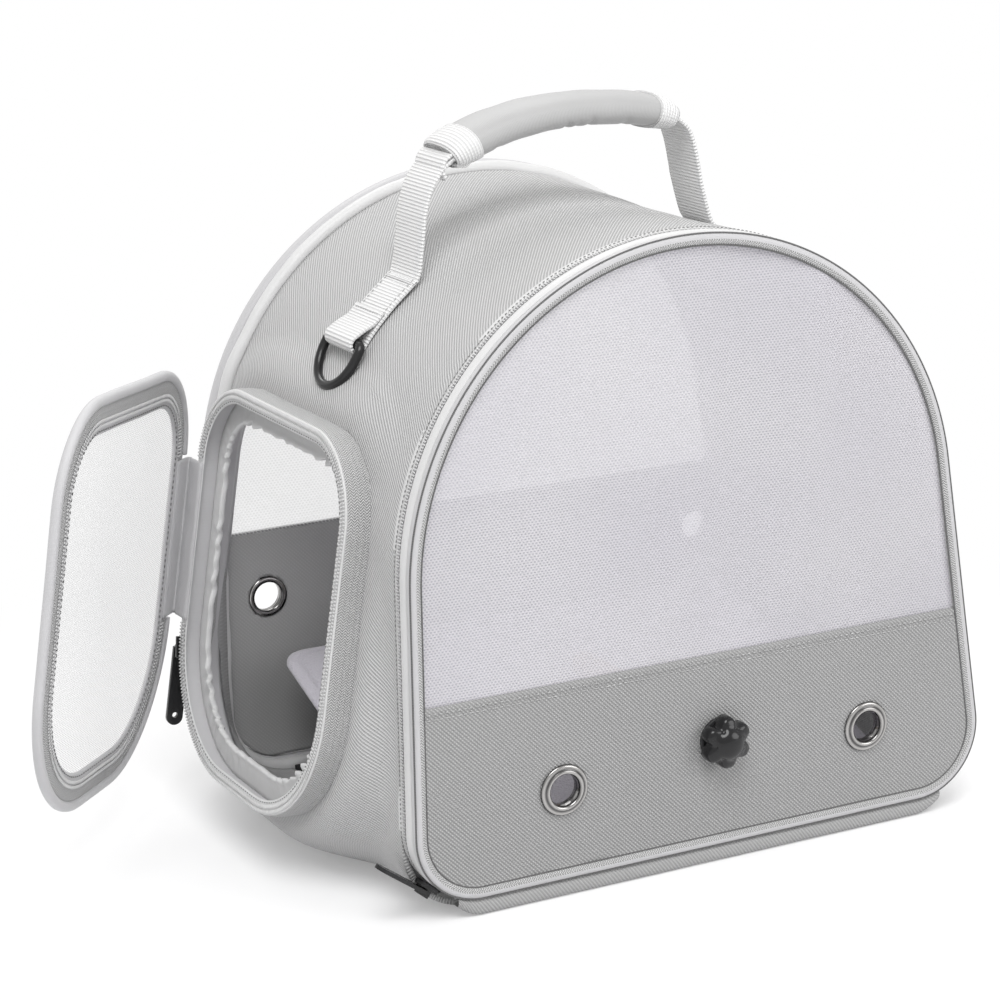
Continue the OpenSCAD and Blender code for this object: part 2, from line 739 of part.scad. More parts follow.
module handle_grip() color("lightgray") {
    first = 4 * grip_first;
    n = 4 * (grip_last - grip_first) + 1;
    slot_gap = 0.5;
    points = [for (i = [0 : n - 1])
        let (c = handle_line[first + i], v = normal_at(handle_line, first + i), end = min(i, n - 1 - i),
             puff = end == 0 ? 0.72 : end == 1 ? 0.92 : 1)
        each concat(
            [for (k = [0 : grip_sides - 1])
                let (s = oval(360 * k / grip_sides, grip_w - (1 - puff) * 6, grip_t * puff))
                [c.x + v.x * s.y, s.x, c.y + v.y * s.y]],
            [for (k = [0 : grip_sides - 1])
                let (s = slot(k, strap_w + slot_gap, strap_t + slot_gap))
                [c.x + v.x * s.y, s.x, c.y + v.y * s.y]])];
    last = n - 1;
    polyhedron(points, concat(
        [for (i = [0 : n - 2], k = [0 : grip_sides - 1]) each [
            [at(i, k), at(i, k + 1), at(i + 1, k + 1)], [at(i, k), at(i + 1, k + 1), at(i + 1, k)],
            [inner(i, k), inner(i + 1, k + 1), inner(i, k + 1)], [inner(i, k), inner(i + 1, k), inner(i + 1, k + 1)]]],
        [for (k = [0 : grip_sides - 1]) each [
            [at(0, k), inner(0, k + 1), at(0, k + 1)], [at(0, k), inner(0, k), inner(0, k + 1)],
            [at(last, k), at(last, k + 1), inner(last, k + 1)], [at(last, k), inner(last, k + 1), inner(last, k)]]]));
}

// Turns the front panel and what it carries about the front hem
module folded() {
    translate([0, front_y, hem_h + gap / 2]) rotate([panel_open, 0, 0]) translate([0, -front_y, -hem_h - gap / 2])
        children();
}

gusset_shell();
base_panel();
base_board();
base_hem();
floor_mat();
gusset_zip_tape();
gusset_zip_coil();
back_piping();
back_binding();
back_band_panel();
back_window_mesh();
back_eyelets();
folded() front_piping();
folded() front_skirt_tape();
folded() front_zip_coil();
folded() front_window_mesh();
folded() front_band_panel();
folded() front_eyelets();
front_zip_slider();
front_zip_puller();
folded() perch_dowel();
folded() perch_stud();
folded() perch_washer_inner();
folded() perch_washer_outer();
folded() star_knob();
door_frame_flange();
door_frame_coil();
frame_hinge_strip();
elastic_collar();
door_rim();
door_piping();
door_coil();
door_mesh();
door_hinge_strip();
door_zip_slider();
door_zip_puller();
strap_anchor_left();
strap_anchor_right();
d_ring_left();
d_ring_right();
handle_strap();
handle_grip();
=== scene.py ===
"""Looks of the bird travel carrier: fabrics, zips, meshes, padded handle, light and camera."""
import math

import bmesh
import bpy
import numpy as np
from mathutils import Matrix, Vector, noise


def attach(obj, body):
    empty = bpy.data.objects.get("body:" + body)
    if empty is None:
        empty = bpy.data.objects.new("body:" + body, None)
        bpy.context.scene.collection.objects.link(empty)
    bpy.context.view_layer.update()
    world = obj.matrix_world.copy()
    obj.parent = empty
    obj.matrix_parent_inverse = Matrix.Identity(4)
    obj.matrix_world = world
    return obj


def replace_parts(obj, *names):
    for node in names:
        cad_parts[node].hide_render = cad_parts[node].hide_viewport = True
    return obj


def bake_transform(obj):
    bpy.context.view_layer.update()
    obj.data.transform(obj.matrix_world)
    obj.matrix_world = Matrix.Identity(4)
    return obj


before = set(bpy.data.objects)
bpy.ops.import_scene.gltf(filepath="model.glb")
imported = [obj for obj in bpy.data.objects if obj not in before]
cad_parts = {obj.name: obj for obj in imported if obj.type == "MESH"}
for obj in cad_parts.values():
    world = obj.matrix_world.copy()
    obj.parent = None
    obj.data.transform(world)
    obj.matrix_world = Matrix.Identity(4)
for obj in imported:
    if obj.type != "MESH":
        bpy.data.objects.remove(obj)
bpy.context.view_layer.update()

MM = 0.001

# ---- Sizes of the part, in millimetres
BODY_HALF, ARCH_R, CORNER_R, LEAN = 163.0, 153.0, 36.0, -10.0
ARCH_Z, BASE_HALF, WALL = 167.0, 127.0, 3.0
FRONT_Y, PANEL_Y, ZIP_Y, GUSSET_Y0, GUSSET_Y1 = -120.0, -119.0, -105.9, -99.3, 103.8
PIPING_Y, BINDING_Y0, BACK_Y, BACK_PANEL_Y = 107.9, 112.0, 120.0, 116.0
PANEL_FLOOR, FRONT_BAND_Z, BACK_BAND_Z = 9.3, 110.0, 137.0
FITTING_X, PERCH_Z = 5.0, 66.0
FRONT_EYELETS = [(FITTING_X - 88, 56.0), (FITTING_X + 88, 56.0)]
BACK_EYELETS = [(-134.0, 100.0), (134.0, 100.0)]
# Side door: its outline lies in a leaning plane, as depth and height from its middle
DOOR_X, DOOR_Z, DOOR_LEAN = -170.0, 128.0, math.radians(9.0)
DOOR_FRONT, DOOR_BACK, DOOR_HALF, DOOR_LOW_R, DOOR_TOP_R = -75.3, 102.3, 100.0, 68.0, 44.0
DOOR = [(DOOR_FRONT + DOOR_LOW_R, DOOR_LOW_R - DOOR_HALF, DOOR_LOW_R), (DOOR_BACK - DOOR_LOW_R, DOOR_LOW_R - DOOR_HALF, DOOR_LOW_R),
        (DOOR_BACK - DOOR_TOP_R, DOOR_HALF - DOOR_TOP_R, DOOR_TOP_R), (DOOR_FRONT + DOOR_TOP_R, DOOR_HALF - DOOR_TOP_R, DOOR_TOP_R)]
FRAME_H, FLAP_LAYER, RIM_LAYER = 13.0, 15.3, 17.3
HINGE_OUT, HINGE_Y, HINGE_LOW, HINGE_HIGH, DOOR_OPEN = 15.15, 108.3, -30.0, 54.0, math.radians(41.0)
STRAP_W, STRAP_T, HANDLE_Z, HANDLE_RISE = 30.0, 2.0, 321.0, 44.0
HANDLE_LEFT, HANDLE_RIGHT = -98.0, 62.0


def body_loop(floor):
    """Circles of the body's outline: right corner, arch, left corner, anticlockwise seen from the front."""
    return [(BASE_HALF, floor + CORNER_R, CORNER_R), (LEAN, ARCH_Z, ARCH_R),
            (-BASE_HALF, floor + CORNER_R, CORNER_R)]


def leans(circles):
    found = []
    for a, b in zip(circles, circles[1:] + circles[:1]):
        reach = math.hypot(b[0] - a[0], b[1] - a[1])
        found.append(math.atan2(b[1] - a[1], b[0] - a[0]) - math.acos((a[2] - b[2]) / reach))
    return found


def outline(circles, grow=0.0, step=3.0, whole=True):
    """Points and normals round the circles; whole=False leaves the last straight stretch out."""
    tilt, points = leans(circles), []
    for i, (cx, cz, r) in enumerate(circles):
        start, r = tilt[i - 1], r + grow
        swing = (tilt[i] - start) % (2 * math.pi)
        m = max(2, math.ceil(swing * r / step))
        for j in range(m):
            a = start + swing * j / m
            points.append((cx + r * math.cos(a), cz + r * math.sin(a), a))
        nx, nz, nr = circles[(i + 1) % len(circles)]
        p = np.array([cx + r * math.cos(tilt[i]), cz + r * math.sin(tilt[i])])
        q = np.array([nx + (nr + grow) * math.cos(tilt[i]), nz + (nr + grow) * math.sin(tilt[i])])
        if not whole and i == len(circles) - 1:
            points.append((*p, tilt[i]))
            break
        k = max(1, math.ceil(np.linalg.norm(q - p) / step))
        points += [(*(p + (q - p) * j / k), tilt[i]) for j in range(k)]
    return points


def rim(floor, step=3.0, whole=True):
    """Points of the body's outline as arrays of x, z and normal angle."""
    return [np.array(v) for v in zip(*outline(body_loop(floor), 0, step, whole))]


DOOR_UP = np.array([math.sin(DOOR_LEAN), 0.0, math.cos(DOOR_LEAN)])
DOOR_OUT = np.array([-math.cos(DOOR_LEAN), 0.0, math.sin(DOOR_LEAN)])
DOOR_MIDDLE = np.array([DOOR_X, 0.0, DOOR_Z])
HINGE = DOOR_MIDDLE + DOOR_OUT * HINGE_OUT + np.array([0.0, HINGE_Y, 0.0])


def on_door(out, y, height):
    """A point of the door from its layer, depth and height in the leaning plane."""
    return DOOR_MIDDLE + DOOR_OUT * out + np.array([0.0, y, 0.0]) + DOOR_UP * height


def swung(v):
    """Turns a direction with the open flap."""
    v = np.array(v, float)
    a = -DOOR_OPEN
    return v * math.cos(a) + np.cross(DOOR_UP, v) * math.sin(a) + DOOR_UP * (DOOR_UP @ v) * (1 - math.cos(a))


def opened(p):
    """Turns a point of the closed side door to its open pose."""
    return tuple(HINGE + swung(np.array(p) - HINGE))


def ripple(x, y, z, size, depth, seed=0.0):
    return depth * noise.noise(Vector((x / size + seed, y / size + 3.1, z / size + 7.7)))


# ---- Materials
class Graph:
    """A material's nodes; u and v run over the surface in millimetres."""

    def __init__(self, name):
        self.material = bpy.data.materials.new(name)
        self.material.use_nodes = True
        self.tree = self.material.node_tree
        self.tree.nodes.clear()
        uv = self.node("ShaderNodeUVMap", uv_map="uv")
        split = self.node("ShaderNodeSeparateXYZ", {0: uv.outputs[0]})
        self.u = self.math("MULTIPLY", split.outputs[0], 1000.0)
        self.v = self.math("MULTIPLY", split.outputs[1], 1000.0)
        self.place = self.node("ShaderNodeTexCoord").outputs["Object"]

    def node(self, kind, inputs=None, **props):
        made = self.tree.nodes.new(kind)
        for key, value in props.items():
            setattr(made, key, value)
        for key, value in (inputs or {}).items():
            if isinstance(value, bpy.types.NodeSocket):
                self.tree.links.new(value, made.inputs[key])
            else:
                made.inputs[key].default_value = value
        return made

    def math(self, op, a, b=0.0, c=0.0):
        return self.node("ShaderNodeMath", {0: a, 1: b, 2: c}, operation=op).outputs[0]

    def wave(self, value, period):
        """0 to 1 along value."""
        turn = self.math("MULTIPLY", value, 2 * math.pi / period)
        return self.math("MULTIPLY_ADD", self.math("SINE", turn), 0.5, 0.5)

    def along(self, angle):
        a = math.radians(angle)
        return self.math("ADD", self.math("MULTIPLY", self.u, math.cos(a)),
                         self.math("MULTIPLY", self.v, math.sin(a)))

    def cloud(self, scale, detail=3.0):
        made = self.node("ShaderNodeTexNoise", {"Vector": self.place, "Scale": scale, "Detail": detail})
        return made.outputs["Fac"]

    def mix(self, share, a, b):
        made = self.node("ShaderNodeMix", {0: share}, data_type="RGBA")
        for key, value in ((6, a), (7, b)):
            if isinstance(value, bpy.types.NodeSocket):
                self.tree.links.new(value, made.inputs[key])
            else:
                made.inputs[key].default_value = (*value, 1.0)
        return made.outputs[2]

    def bump(self, height, distance, strength=1.0):
        return self.node("ShaderNodeBump", {"Height": height, "Distance": distance, "Strength": strength}).outputs[0]

    def surface(self, colour, rough, normal=None, **sockets):
        inputs = {"Base Color": colour, "Roughness": rough}
        if normal is not None:
            inputs["Normal"] = normal
        inputs.update({k.replace("_", " "): v for k, v in sockets.items()})
        return self.node("ShaderNodeBsdfPrincipled", inputs).outputs[0]

    def done(self, shader):
        self.node("ShaderNodeOutputMaterial", {"Surface": shader})
        return self.material


def grey(v, tint=(1.0, 1.0, 1.0)):
    """A linear colour from an 8-bit grey level with a tint."""
    s = v / 255
    lin = s / 12.92 if s <= 0.04045 else ((s + 0.055) / 1.055) ** 2.4
    return tuple(lin * t for t in tint)


def woven(name, light, dark, pattern, depth, rough=0.75, sheen=0.25, mottle=0.12):
    """A fabric whose threads follow pattern(graph), from dark to light."""
    g = Graph(name)
    height = pattern(g)
    threads = g.mix(height, dark, light)
    soft = g.mix(g.math("MULTIPLY", g.cloud(9.0), mottle * 2), threads, tuple(c * 0.8 for c in light))
    normal = g.bump(height, depth)
    return g.done(g.surface(soft, rough, normal, Sheen_Weight=sheen, Sheen_Roughness=0.5))


def twill(g):
    return g.math("MULTIPLY_ADD", g.wave(g.along(38), 1.55), 0.75, g.math("MULTIPLY", g.wave(g.along(-52), 0.9), 0.25))


def dots(g):
    a, b = g.wave(g.along(45), 1.5), g.wave(g.along(-45), 1.5)
    return g.math("MAXIMUM", g.math("MULTIPLY", a, b), g.math("MULTIPLY", a, 0.35))


def herringbone(g):
    fold = g.math("PINGPONG", g.v, 1.6)
    return g.wave(g.math("ADD", g.u, fold), 1.35)


def ribs(g):
    cross = g.wave(g.v, 1.3)
    return g.math("MULTIPLY_ADD", g.wave(g.u, 1.75), 0.8, g.math("MULTIPLY", cross, 0.2))


def satin(g):
    return g.math("MULTIPLY_ADD", g.cloud(34.0, 4.0), 0.6, g.math("MULTIPLY", g.wave(g.u, 0.8), 0.15))


def mesh_cloth(name, colour, thread, pitch_u, pitch_v, cover, slant=0.0, haze=0.35, painted_fold_shade=0.0):
    """See-through mesh of staggered cells; cover is how much the threads hide, and the last argument sets how much soft
    lavender patches of painted shade darken it.
    """
    g = Graph(name)
    u = g.math("ADD", g.u, g.math("MULTIPLY", g.v, slant))
    row = g.math("FLOOR", g.math("DIVIDE", g.v, pitch_v))
    shift = g.math("MULTIPLY", g.math("MODULO", row, 2.0), pitch_u / 2)
    a = g.wave(g.math("ADD", u, shift), pitch_u)
    b = g.wave(g.math("SUBTRACT", g.v, pitch_v / 4), pitch_v)
    hole = g.math("MULTIPLY", a, b)
    share = g.math("SUBTRACT", cover, g.math("MULTIPLY", hole, haze), 0.0)
    # painted shade: soft random patches darken the mesh towards lavender grey, for the shade of its folds
    shade = g.mix(g.math("MULTIPLY", g.cloud(11.0, 1.0), painted_fold_shade), g.mix(hole, colour, thread), grey(226, (0.98, 0.95, 1.08)))
    normal = g.bump(g.math("SUBTRACT", 1.0, hole), 0.0004, 0.6)
    front = g.node("ShaderNodeBsdfDiffuse", {"Color": shade, "Normal": normal}).outputs[0]
    through = g.node("ShaderNodeBsdfTranslucent", {"Color": shade, "Normal": normal}).outputs[0]
    cloth = g.node("ShaderNodeMixShader", {0: 0.45, 1: front, 2: through}).outputs[0]
    clear = g.node("ShaderNodeBsdfTransparent").outputs[0]
    return g.done(g.node("ShaderNodeMixShader", {0: share, 1: clear, 2: cloth}).outputs[0])


def hard(name, colour, rough, metal=0.0, grain=60.0, depth=0.00006, coat=0.0, tone=0.85, gloss=0.5):
    """Metal, lacquer or plastic with a little unevenness."""
    g = Graph(name)
    cloud = g.cloud(grain, 4.0)
    shade = g.mix(cloud, tuple(c * tone for c in colour), colour)
    normal = g.bump(cloud, depth, 0.5)
    return g.done(g.surface(shade, g.math("MULTIPLY_ADD", cloud, 0.12, rough), normal, Metallic=metal, Coat_Weight=coat,
                            Specular_IOR_Level=gloss))


def chrome(name):
    """Polished metal with painted reflections: dark and bright rings painted along its profile."""
    g = Graph(name)
    # painted reflection: dark and bright bands of colour that follow the profile
    rings = g.math("MULTIPLY_ADD", g.cloud(90.0), 0.3, g.math("MULTIPLY", g.wave(g.v, 3.1), 0.8))
    shade = g.mix(rings, (0.035, 0.035, 0.038), (0.5, 0.49, 0.48))
    return g.done(g.surface(shade, 0.2, g.bump(g.cloud(200.0), 0.00005), Metallic=1.0))


def wood(name):
    g = Graph(name)
    turned = g.node("ShaderNodeMapping", {"Vector": g.place, "Scale": (60.0, 6.0, 60.0)}).outputs[0]
    rings = g.node("ShaderNodeTexNoise", {"Vector": turned, "Scale": 3.0, "Detail": 5.0}).outputs["Fac"]
    shade = g.mix(rings, (0.36, 0.22, 0.11), (0.62, 0.44, 0.27))
    return g.done(g.surface(shade, 0.6, g.bump(rings, 0.0002, 0.5)))


LILAC = (0.995, 0.99, 1.01)
MATS = {
    "side": woven("side_twill", grey(220), grey(152), twill, 0.0005, sheen=0.12),
    "band": woven("band_weave", grey(204), grey(130), dots, 0.0005, sheen=0.1),
    "inner": woven("inner_lining", grey(186), grey(168), dots, 0.0001, sheen=0.05),
    "base": woven("base_weave", grey(184), grey(146), twill, 0.0003, sheen=0.1),
    "trim": woven("trim_satin", grey(206, LILAC), grey(190, LILAC), satin, 0.0003, 0.5, 0.35, 0.06),
    "rim": woven("rim_satin", grey(206, LILAC), grey(188, LILAC), satin, 0.0003, 0.5, 0.35, 0.06),
    "tape": woven("tape_satin", grey(226), grey(208), satin, 0.0002, 0.45, 0.3, 0.05),
    "herring": woven("herringbone_tape", grey(232), grey(150), herringbone, 0.0006, 0.65),
    "webbing": woven("ribbed_webbing", grey(247), grey(222), ribs, 0.0006, 0.6),
    "grip": woven("grip_satin", grey(186), grey(170), satin, 0.0004, 0.5, 0.25, 0.1),
    "collar": woven("collar_cloth", grey(216), grey(202), satin, 0.0003, 0.6, 0.3, 0.1),
    "fleece": woven("mat_fleece", grey(212, (1.0, 0.97, 1.05)), grey(196, (1.0, 0.96, 1.06)),
                    lambda g: g.cloud(900.0, 2.0), 0.0006, 0.9, 0.6, 0.15),
    "thread": woven("sewing_thread", grey(236), grey(190), lambda g: g.wave(g.u, 0.5), 0.0001, 0.5),
    "dark_thread": woven("dark_thread", grey(150), grey(110), lambda g: g.wave(g.u, 0.5), 0.0001, 0.5),
    # painted shadow: dark colour for the thin lines of shade in the front rim's grooves
    "seam": woven("seam_shadow", grey(112), grey(74), lambda g: g.wave(g.u, 0.8), 0.0001, 0.7),
    "coil": hard("coil_nylon", grey(216), 0.35, grain=200.0),
    # the front window's mesh carries soft patches of painted shade
    "mesh": mesh_cloth("window_mesh", grey(255, (1.0, 0.985, 1.0)), grey(228, (0.98, 0.96, 1.05)), 1.9, 1.3, 0.955, haze=0.2, painted_fold_shade=0.5),
    "door_mesh": mesh_cloth("door_mesh", grey(255), grey(206), 2.4, 1.1, 0.66, slant=0.9, haze=0.3),
    "back_mesh": mesh_cloth("back_mesh", grey(255), grey(250), 2.0, 1.35, 0.58, haze=0.1),
    # eyelet metal whose colour carries painted reflections
    "chrome": chrome("eyelet_metal_painted_reflections"),
    "black_metal": hard("black_enamel", (0.014, 0.014, 0.015), 0.25, 0.0, coat=0.25, tone=0.7, gloss=0.35),
    "knob": hard("knob_gloss", (0.007, 0.007, 0.008), 0.14, grain=25.0, depth=0.00001, coat=0.3, tone=0.7, gloss=0.35),
    "board": hard("board_black", (0.014, 0.014, 0.015), 0.55, grain=300.0, depth=0.0002),
    "washer": hard("washer_black", (0.03, 0.03, 0.032), 0.45),
    "steel": hard("stud_steel", (0.5, 0.5, 0.51), 0.3, 1.0),
    "wood": wood("perch_wood"),
}


# ---- Mesh builders
def lengths(rows, axis, closed):
    """Running mean length along one axis of a grid of points, in metres, with one value more if closed."""
    if closed:
        rows = np.concatenate([rows, np.take(rows, [0], axis)], axis)
    step = np.linalg.norm(np.diff(rows, axis=axis), axis=2).mean(axis=1 - axis)
    return np.concatenate([[0.0], np.cumsum(step)])


def grid(name, rows, body, material, loop_u=False, loop_v=False, uv=None, keep=None, second=None):
    """A piece from a grid of points in millimetres. keep(centre) drops faces; second=(material, test(i, j))."""
    rows = np.array(rows, float) * MM
    n, m = rows.shape[:2]
    us, vs = lengths(rows, 0, loop_u), lengths(rows, 1, loop_v)
    faces, corners, marks = [], [], []
    for i in range(n if loop_u else n - 1):
        for j in range(m if loop_v else m - 1):
            quad = [(i, j), (i + 1, j), (i + 1, j + 1), (i, j + 1)]
            ids = [(a % n) * m + b % m for a, b in quad]
            if keep and not keep(rows.reshape(-1, 3)[ids].mean(0) / MM):
                continue
            faces.append(ids)
            if callable(uv):
                corners += [uv(rows[a % n, b % m] / MM) for a, b in quad]
            elif uv is not None:
                corners += [uv[a % n][b % m] for a, b in quad]
            else:
                corners += [(us[a], vs[b]) for a, b in quad]
            marks.append(1 if second and second[1](i, j) else 0)
    data = bpy.data.meshes.new(name)
    data.from_pydata(rows.reshape(-1, 3).tolist(), [], faces)
    layer = data.uv_layers.new(name="uv")
    layer.data.foreach_set("uv", np.array(corners, float).ravel())
    data.materials.append(MATS[material])
    if second:
        data.materials.append(MATS[second[0]])
        data.polygons.foreach_set("material_index", marks)
    data.shade_smooth()
    return place(name, data, body)


def place(name, data, body):
    made = bpy.data.objects.new(name, data)
    bpy.context.scene.collection.objects.link(made)
    work = bmesh.new()
    work.from_mesh(data)
    bmesh.ops.remove_doubles(work, verts=work.verts, dist=1e-6)
    bmesh.ops.recalc_face_normals(work, faces=work.faces)
    work.to_mesh(data)
    work.free()
    if body:
        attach(made, body)
    return made


def sweep(name, stations, profile, body, material, closed=True, cap=True, second=None):
    """Carries a closed profile along stations of (origin, a axis, b axis); profile(i) gives (a, b) pairs."""
    rows = [[o + pa * a + pb * b for pa, pb in profile(i)] for i, (o, a, b) in enumerate(stations)]
    if not closed and cap:
        rows = [[np.mean(rows[0], axis=0)] * len(rows[0])] + rows + [[np.mean(rows[-1], axis=0)] * len(rows[-1])]
    return grid(name, rows, body, material, loop_u=closed, loop_v=True, second=second)


def round_rect(w, h, r, k=4):
    """A rectangle with rounded corners as (a, b) pairs, w along a and h along b."""
    points = []
    for n, (sa, sb) in enumerate([(1, 1), (-1, 1), (-1, -1), (1, -1)]):
        for j in range(k + 1):
            t = math.radians(90 * n + 90 * j / k)
            points.append((sa * (w / 2 - r) + r * math.cos(t), sb * (h / 2 - r) + r * math.sin(t)))
    return points


def superoval(w, h, power=0.8, n=16):
    soft = lambda v: math.copysign(abs(v) ** power, v)
    return [(w / 2 * soft(math.cos(2 * math.pi * k / n)), h / 2 * soft(math.sin(2 * math.pi * k / n))) for k in range(n)]


def rim_stations(floor, out, y, step=3.0, whole=True, wobble=None):
    """Stations round the body's outline: a is outward and b is towards the back."""
    found = []
    for n, (x, z, t) in enumerate(zip(*rim(floor, step, whole))):
        push = out + (wobble(n, x, z) if wobble else 0.0)
        found.append((np.array([x + push * math.cos(t), y, z + push * math.sin(t)]),
                      np.array([math.cos(t), 0.0, math.sin(t)]), np.array([0.0, 1.0, 0.0])))
    return found


def door_point(y, z, t, grow, layer):
    return on_door(layer, y + grow * math.cos(t), z + grow * math.sin(t))


def strokes(name, marks, body, material, squash=0.8):
    """Small rounded bars from (middle, along, across, half length, half width): stitches and coil teeth."""
    ring = [(math.cos(k * math.pi / 3), math.sin(k * math.pi / 3)) for k in range(6)]
    points, faces = [], []
    for o, along, across, half, wide in marks:
        up, start = np.cross(along, across), len(points)
        points.append(o - along * half)
        for share, size in ((-0.75, 0.7), (0.0, 1.0), (0.75, 0.7)):
            points += [o + along * half * share + across * wide * size * c + up * wide * size * squash * s for c, s in ring]
        points.append(o + along * half)
        last = len(points) - 1
        for k in range(6):
            nxt = (k + 1) % 6
            faces.append((start, start + 1 + k, start + 1 + nxt))
            for q in range(2):
                b = start + 1 + 6 * q
                faces.append((b + k, b + 6 + k, b + 6 + nxt, b + nxt))
            faces.append((start + 13 + k, last, start + 13 + nxt))
    data = bpy.data.meshes.new(name)
    data.from_pydata((np.array(points) * MM).tolist(), [], faces)
    data.uv_layers.new(name="uv")
    data.materials.append(MATS[material])
    data.shade_smooth()
    made = bpy.data.objects.new(name, data)
    bpy.context.scene.collection.objects.link(made)
    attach(made, body)
    return made


def spaced(points, pitch, closed=True):
    """Places at an even pitch along a line of points, with the direction there."""
    points = np.array(points, float)
    if closed:
        points = np.vstack([points, points[:1]])
    run = np.concatenate([[0.0], np.cumsum(np.linalg.norm(np.diff(points, axis=0), axis=1))])
    count = int(run[-1] / pitch)
    at = (np.arange(count) + 0.5) * run[-1] / count
    place_at = np.stack([np.interp(at, run, points[:, k]) for k in range(3)], 1)
    ahead = np.stack([np.interp(at + 0.5, run, points[:, k]) - np.interp(at - 0.5, run, points[:, k]) for k in range(3)], 1)
    return place_at, ahead / np.linalg.norm(ahead, axis=1, keepdims=True)


def stitch_marks(points, pitch, up, closed=False, length=0.62, wide=0.33):
    """Marks of a seam; up is the surface's normal, one for all points or one for each place."""
    at, ahead = spaced(points, pitch, closed)
    normals = up(at) if callable(up) else np.tile(up, (len(at), 1))
    across = np.cross(normals, ahead)
    across /= np.linalg.norm(across, axis=1, keepdims=True)
    return [(o, d, c, pitch * length / 2, wide) for o, d, c in zip(at, ahead, across)]


def tooth_marks(points, pitch, up, shift, half, wide, closed=False):
    """Marks of a row of coil teeth that lie across the line, moved sideways by shift."""
    at, ahead = spaced(points, pitch, closed)
    normals = up(at) if callable(up) else np.tile(up, (len(at), 1))
    across = np.cross(normals, ahead)
    across /= np.linalg.norm(across, axis=1, keepdims=True)
    return [(o + c * shift, c, d, half, wide) for o, d, c in zip(at, ahead, across)]


def finish_node(node, material):
    """Gives a CAD node that stays its material."""
    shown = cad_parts[node]
    shown.data.materials.clear()
    shown.data.materials.append(MATS[material])


def rounded_copy(node, body, material, width, segments=3, angle=32):
    """Stands for a hard CAD node with its edges rounded."""
    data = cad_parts[node].data.copy()
    made = bpy.data.objects.new(node + "_part", data)
    bpy.context.scene.collection.objects.link(made)
    work = bmesh.new()
    work.from_mesh(data)
    bmesh.ops.remove_doubles(work, verts=work.verts, dist=1e-6)
    bmesh.ops.dissolve_limit(work, angle_limit=math.radians(1.5), verts=work.verts, edges=work.edges)
    work.to_mesh(data)
    work.free()
    bevel = made.modifiers.new("round", "BEVEL")
    bevel.width, bevel.segments, bevel.limit_method = width * MM, segments, "ANGLE"
    bevel.angle_limit, bevel.use_clamp_overlap = math.radians(angle), True
    settle(made)
    made.data.materials.clear()
    made.data.materials.append(MATS[material])
    made.data.shade_smooth()
    made.data.set_sharp_from_angle(angle=math.radians(40))
    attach(made, body)
    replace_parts(made, node)
    return made


def settle(obj):
    """Applies an object's modifiers."""
    graph = bpy.context.evaluated_depsgraph_get()
    data = bpy.data.meshes.new_from_object(obj.evaluated_get(graph), preserve_all_data_layers=True, depsgraph=graph)
    obj.modifiers.clear()
    obj.data = data


def thicken(piece, thick, outward, offset=-1.0):
    """Gives a layer of cloth its thickness; outward(centre) is the way that its face looks."""
    if sum(face.normal.dot(Vector(outward(face.center))) * face.area for face in piece.data.polygons) < 0:
        piece.data.flip_normals()
    solid = piece.modifiers.new("thickness", "SOLIDIFY")
    solid.thickness, solid.offset, solid.use_rim = thick * MM, offset, True
    solid.material_offset = len(piece.data.materials) - 1
    settle(piece)


# ---- Side fabric, from the front zip to the back piping
DOOR_EDGE = np.array(outline(DOOR, 0, 4.0))


def door_off(c):
    """How far a point lies outside the door's outline, and how far inside the plane of the frame's foot."""
    v = np.array(c) - DOOR_MIDDLE
    height = v @ DOOR_UP
    off = (v[1] - DOOR_EDGE[:, 0]) * np.cos(DOOR_EDGE[:, 2]) + (height - DOOR_EDGE[:, 1]) * np.sin(DOOR_EDGE[:, 2])
    return off.max(), -(v @ DOOR_OUT)


def smooth(t):
    t = min(1.0, max(0.0, t))
    return t * t * (3 - 2 * t)


def swell(x, y, z):
    """Outward pull of the side fabric, which the leaning door frame draws with it."""
    if x > -60:
        return 0.0
    off, short = door_off((x, y, z))
    return max(0.0, short) * smooth(1 - (off - 1) / 30) * smooth((y - SIDE_Y0) / 20) * smooth((GUSSET_Y1 - y) / 4 + 0.2)


SIDE_Y0 = GUSSET_Y0 - 3.6
side_rows = []
for x, z, t in zip(*rim(0, 2.0, whole=False)):
    top = max(0.0, math.sin(t)) ** 2
    outer = []
    for y in np.linspace(SIDE_Y0, GUSSET_Y1, 104):
        share = (y - SIDE_Y0) / (GUSSET_Y1 - SIDE_Y0)
        bow = math.sin(math.pi * share)
        pull = swell(x, y, z)
        calm = 0.25 if pull > 2 else 1.0
        push = calm * bow * (ripple(x, y, z, 55, 1.6) + ripple(x, y, z, 19, 0.4, 5)) - 2.2 * bow * top
        edge = 0.5 if share < 0.02 or share > 0.985 else 0.0
        outer.append((x + (push - edge) * math.cos(t) - pull, y, z + (push - edge) * math.sin(t)))
    side_rows.append(outer)
side_cloth = grid("side_fabric", side_rows, "carrier_body", "side",
            keep=lambda c: c[0] > -60 or door_off(c)[0] > -1.6, second=("inner", lambda i, j: False))
thicken(side_cloth, WALL, lambda c: (c[0] - LEAN * MM, 0, c[2] - 0.16))
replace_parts(side_cloth, "gusset_shell")

OUT = lambda x, z, t: np.array([math.cos(t), 0.0, math.sin(t)])


def rim_line(floor, out, y, step=3.0, whole=False):
    """A line round the body's outline at one depth, with its outward normals."""
    x, z, t = rim(floor, step, whole)
    return (np.stack([x + out * np.cos(t), np.full_like(x, y), z + out * np.sin(t)], 1),
            np.stack([np.cos(t), np.zeros_like(t), np.sin(t)], 1))


def nearest_normal(points, normals):
    def find(at):
        return np.array([normals[np.argmin(((points - p) ** 2).sum(1))] for p in at])
    return find


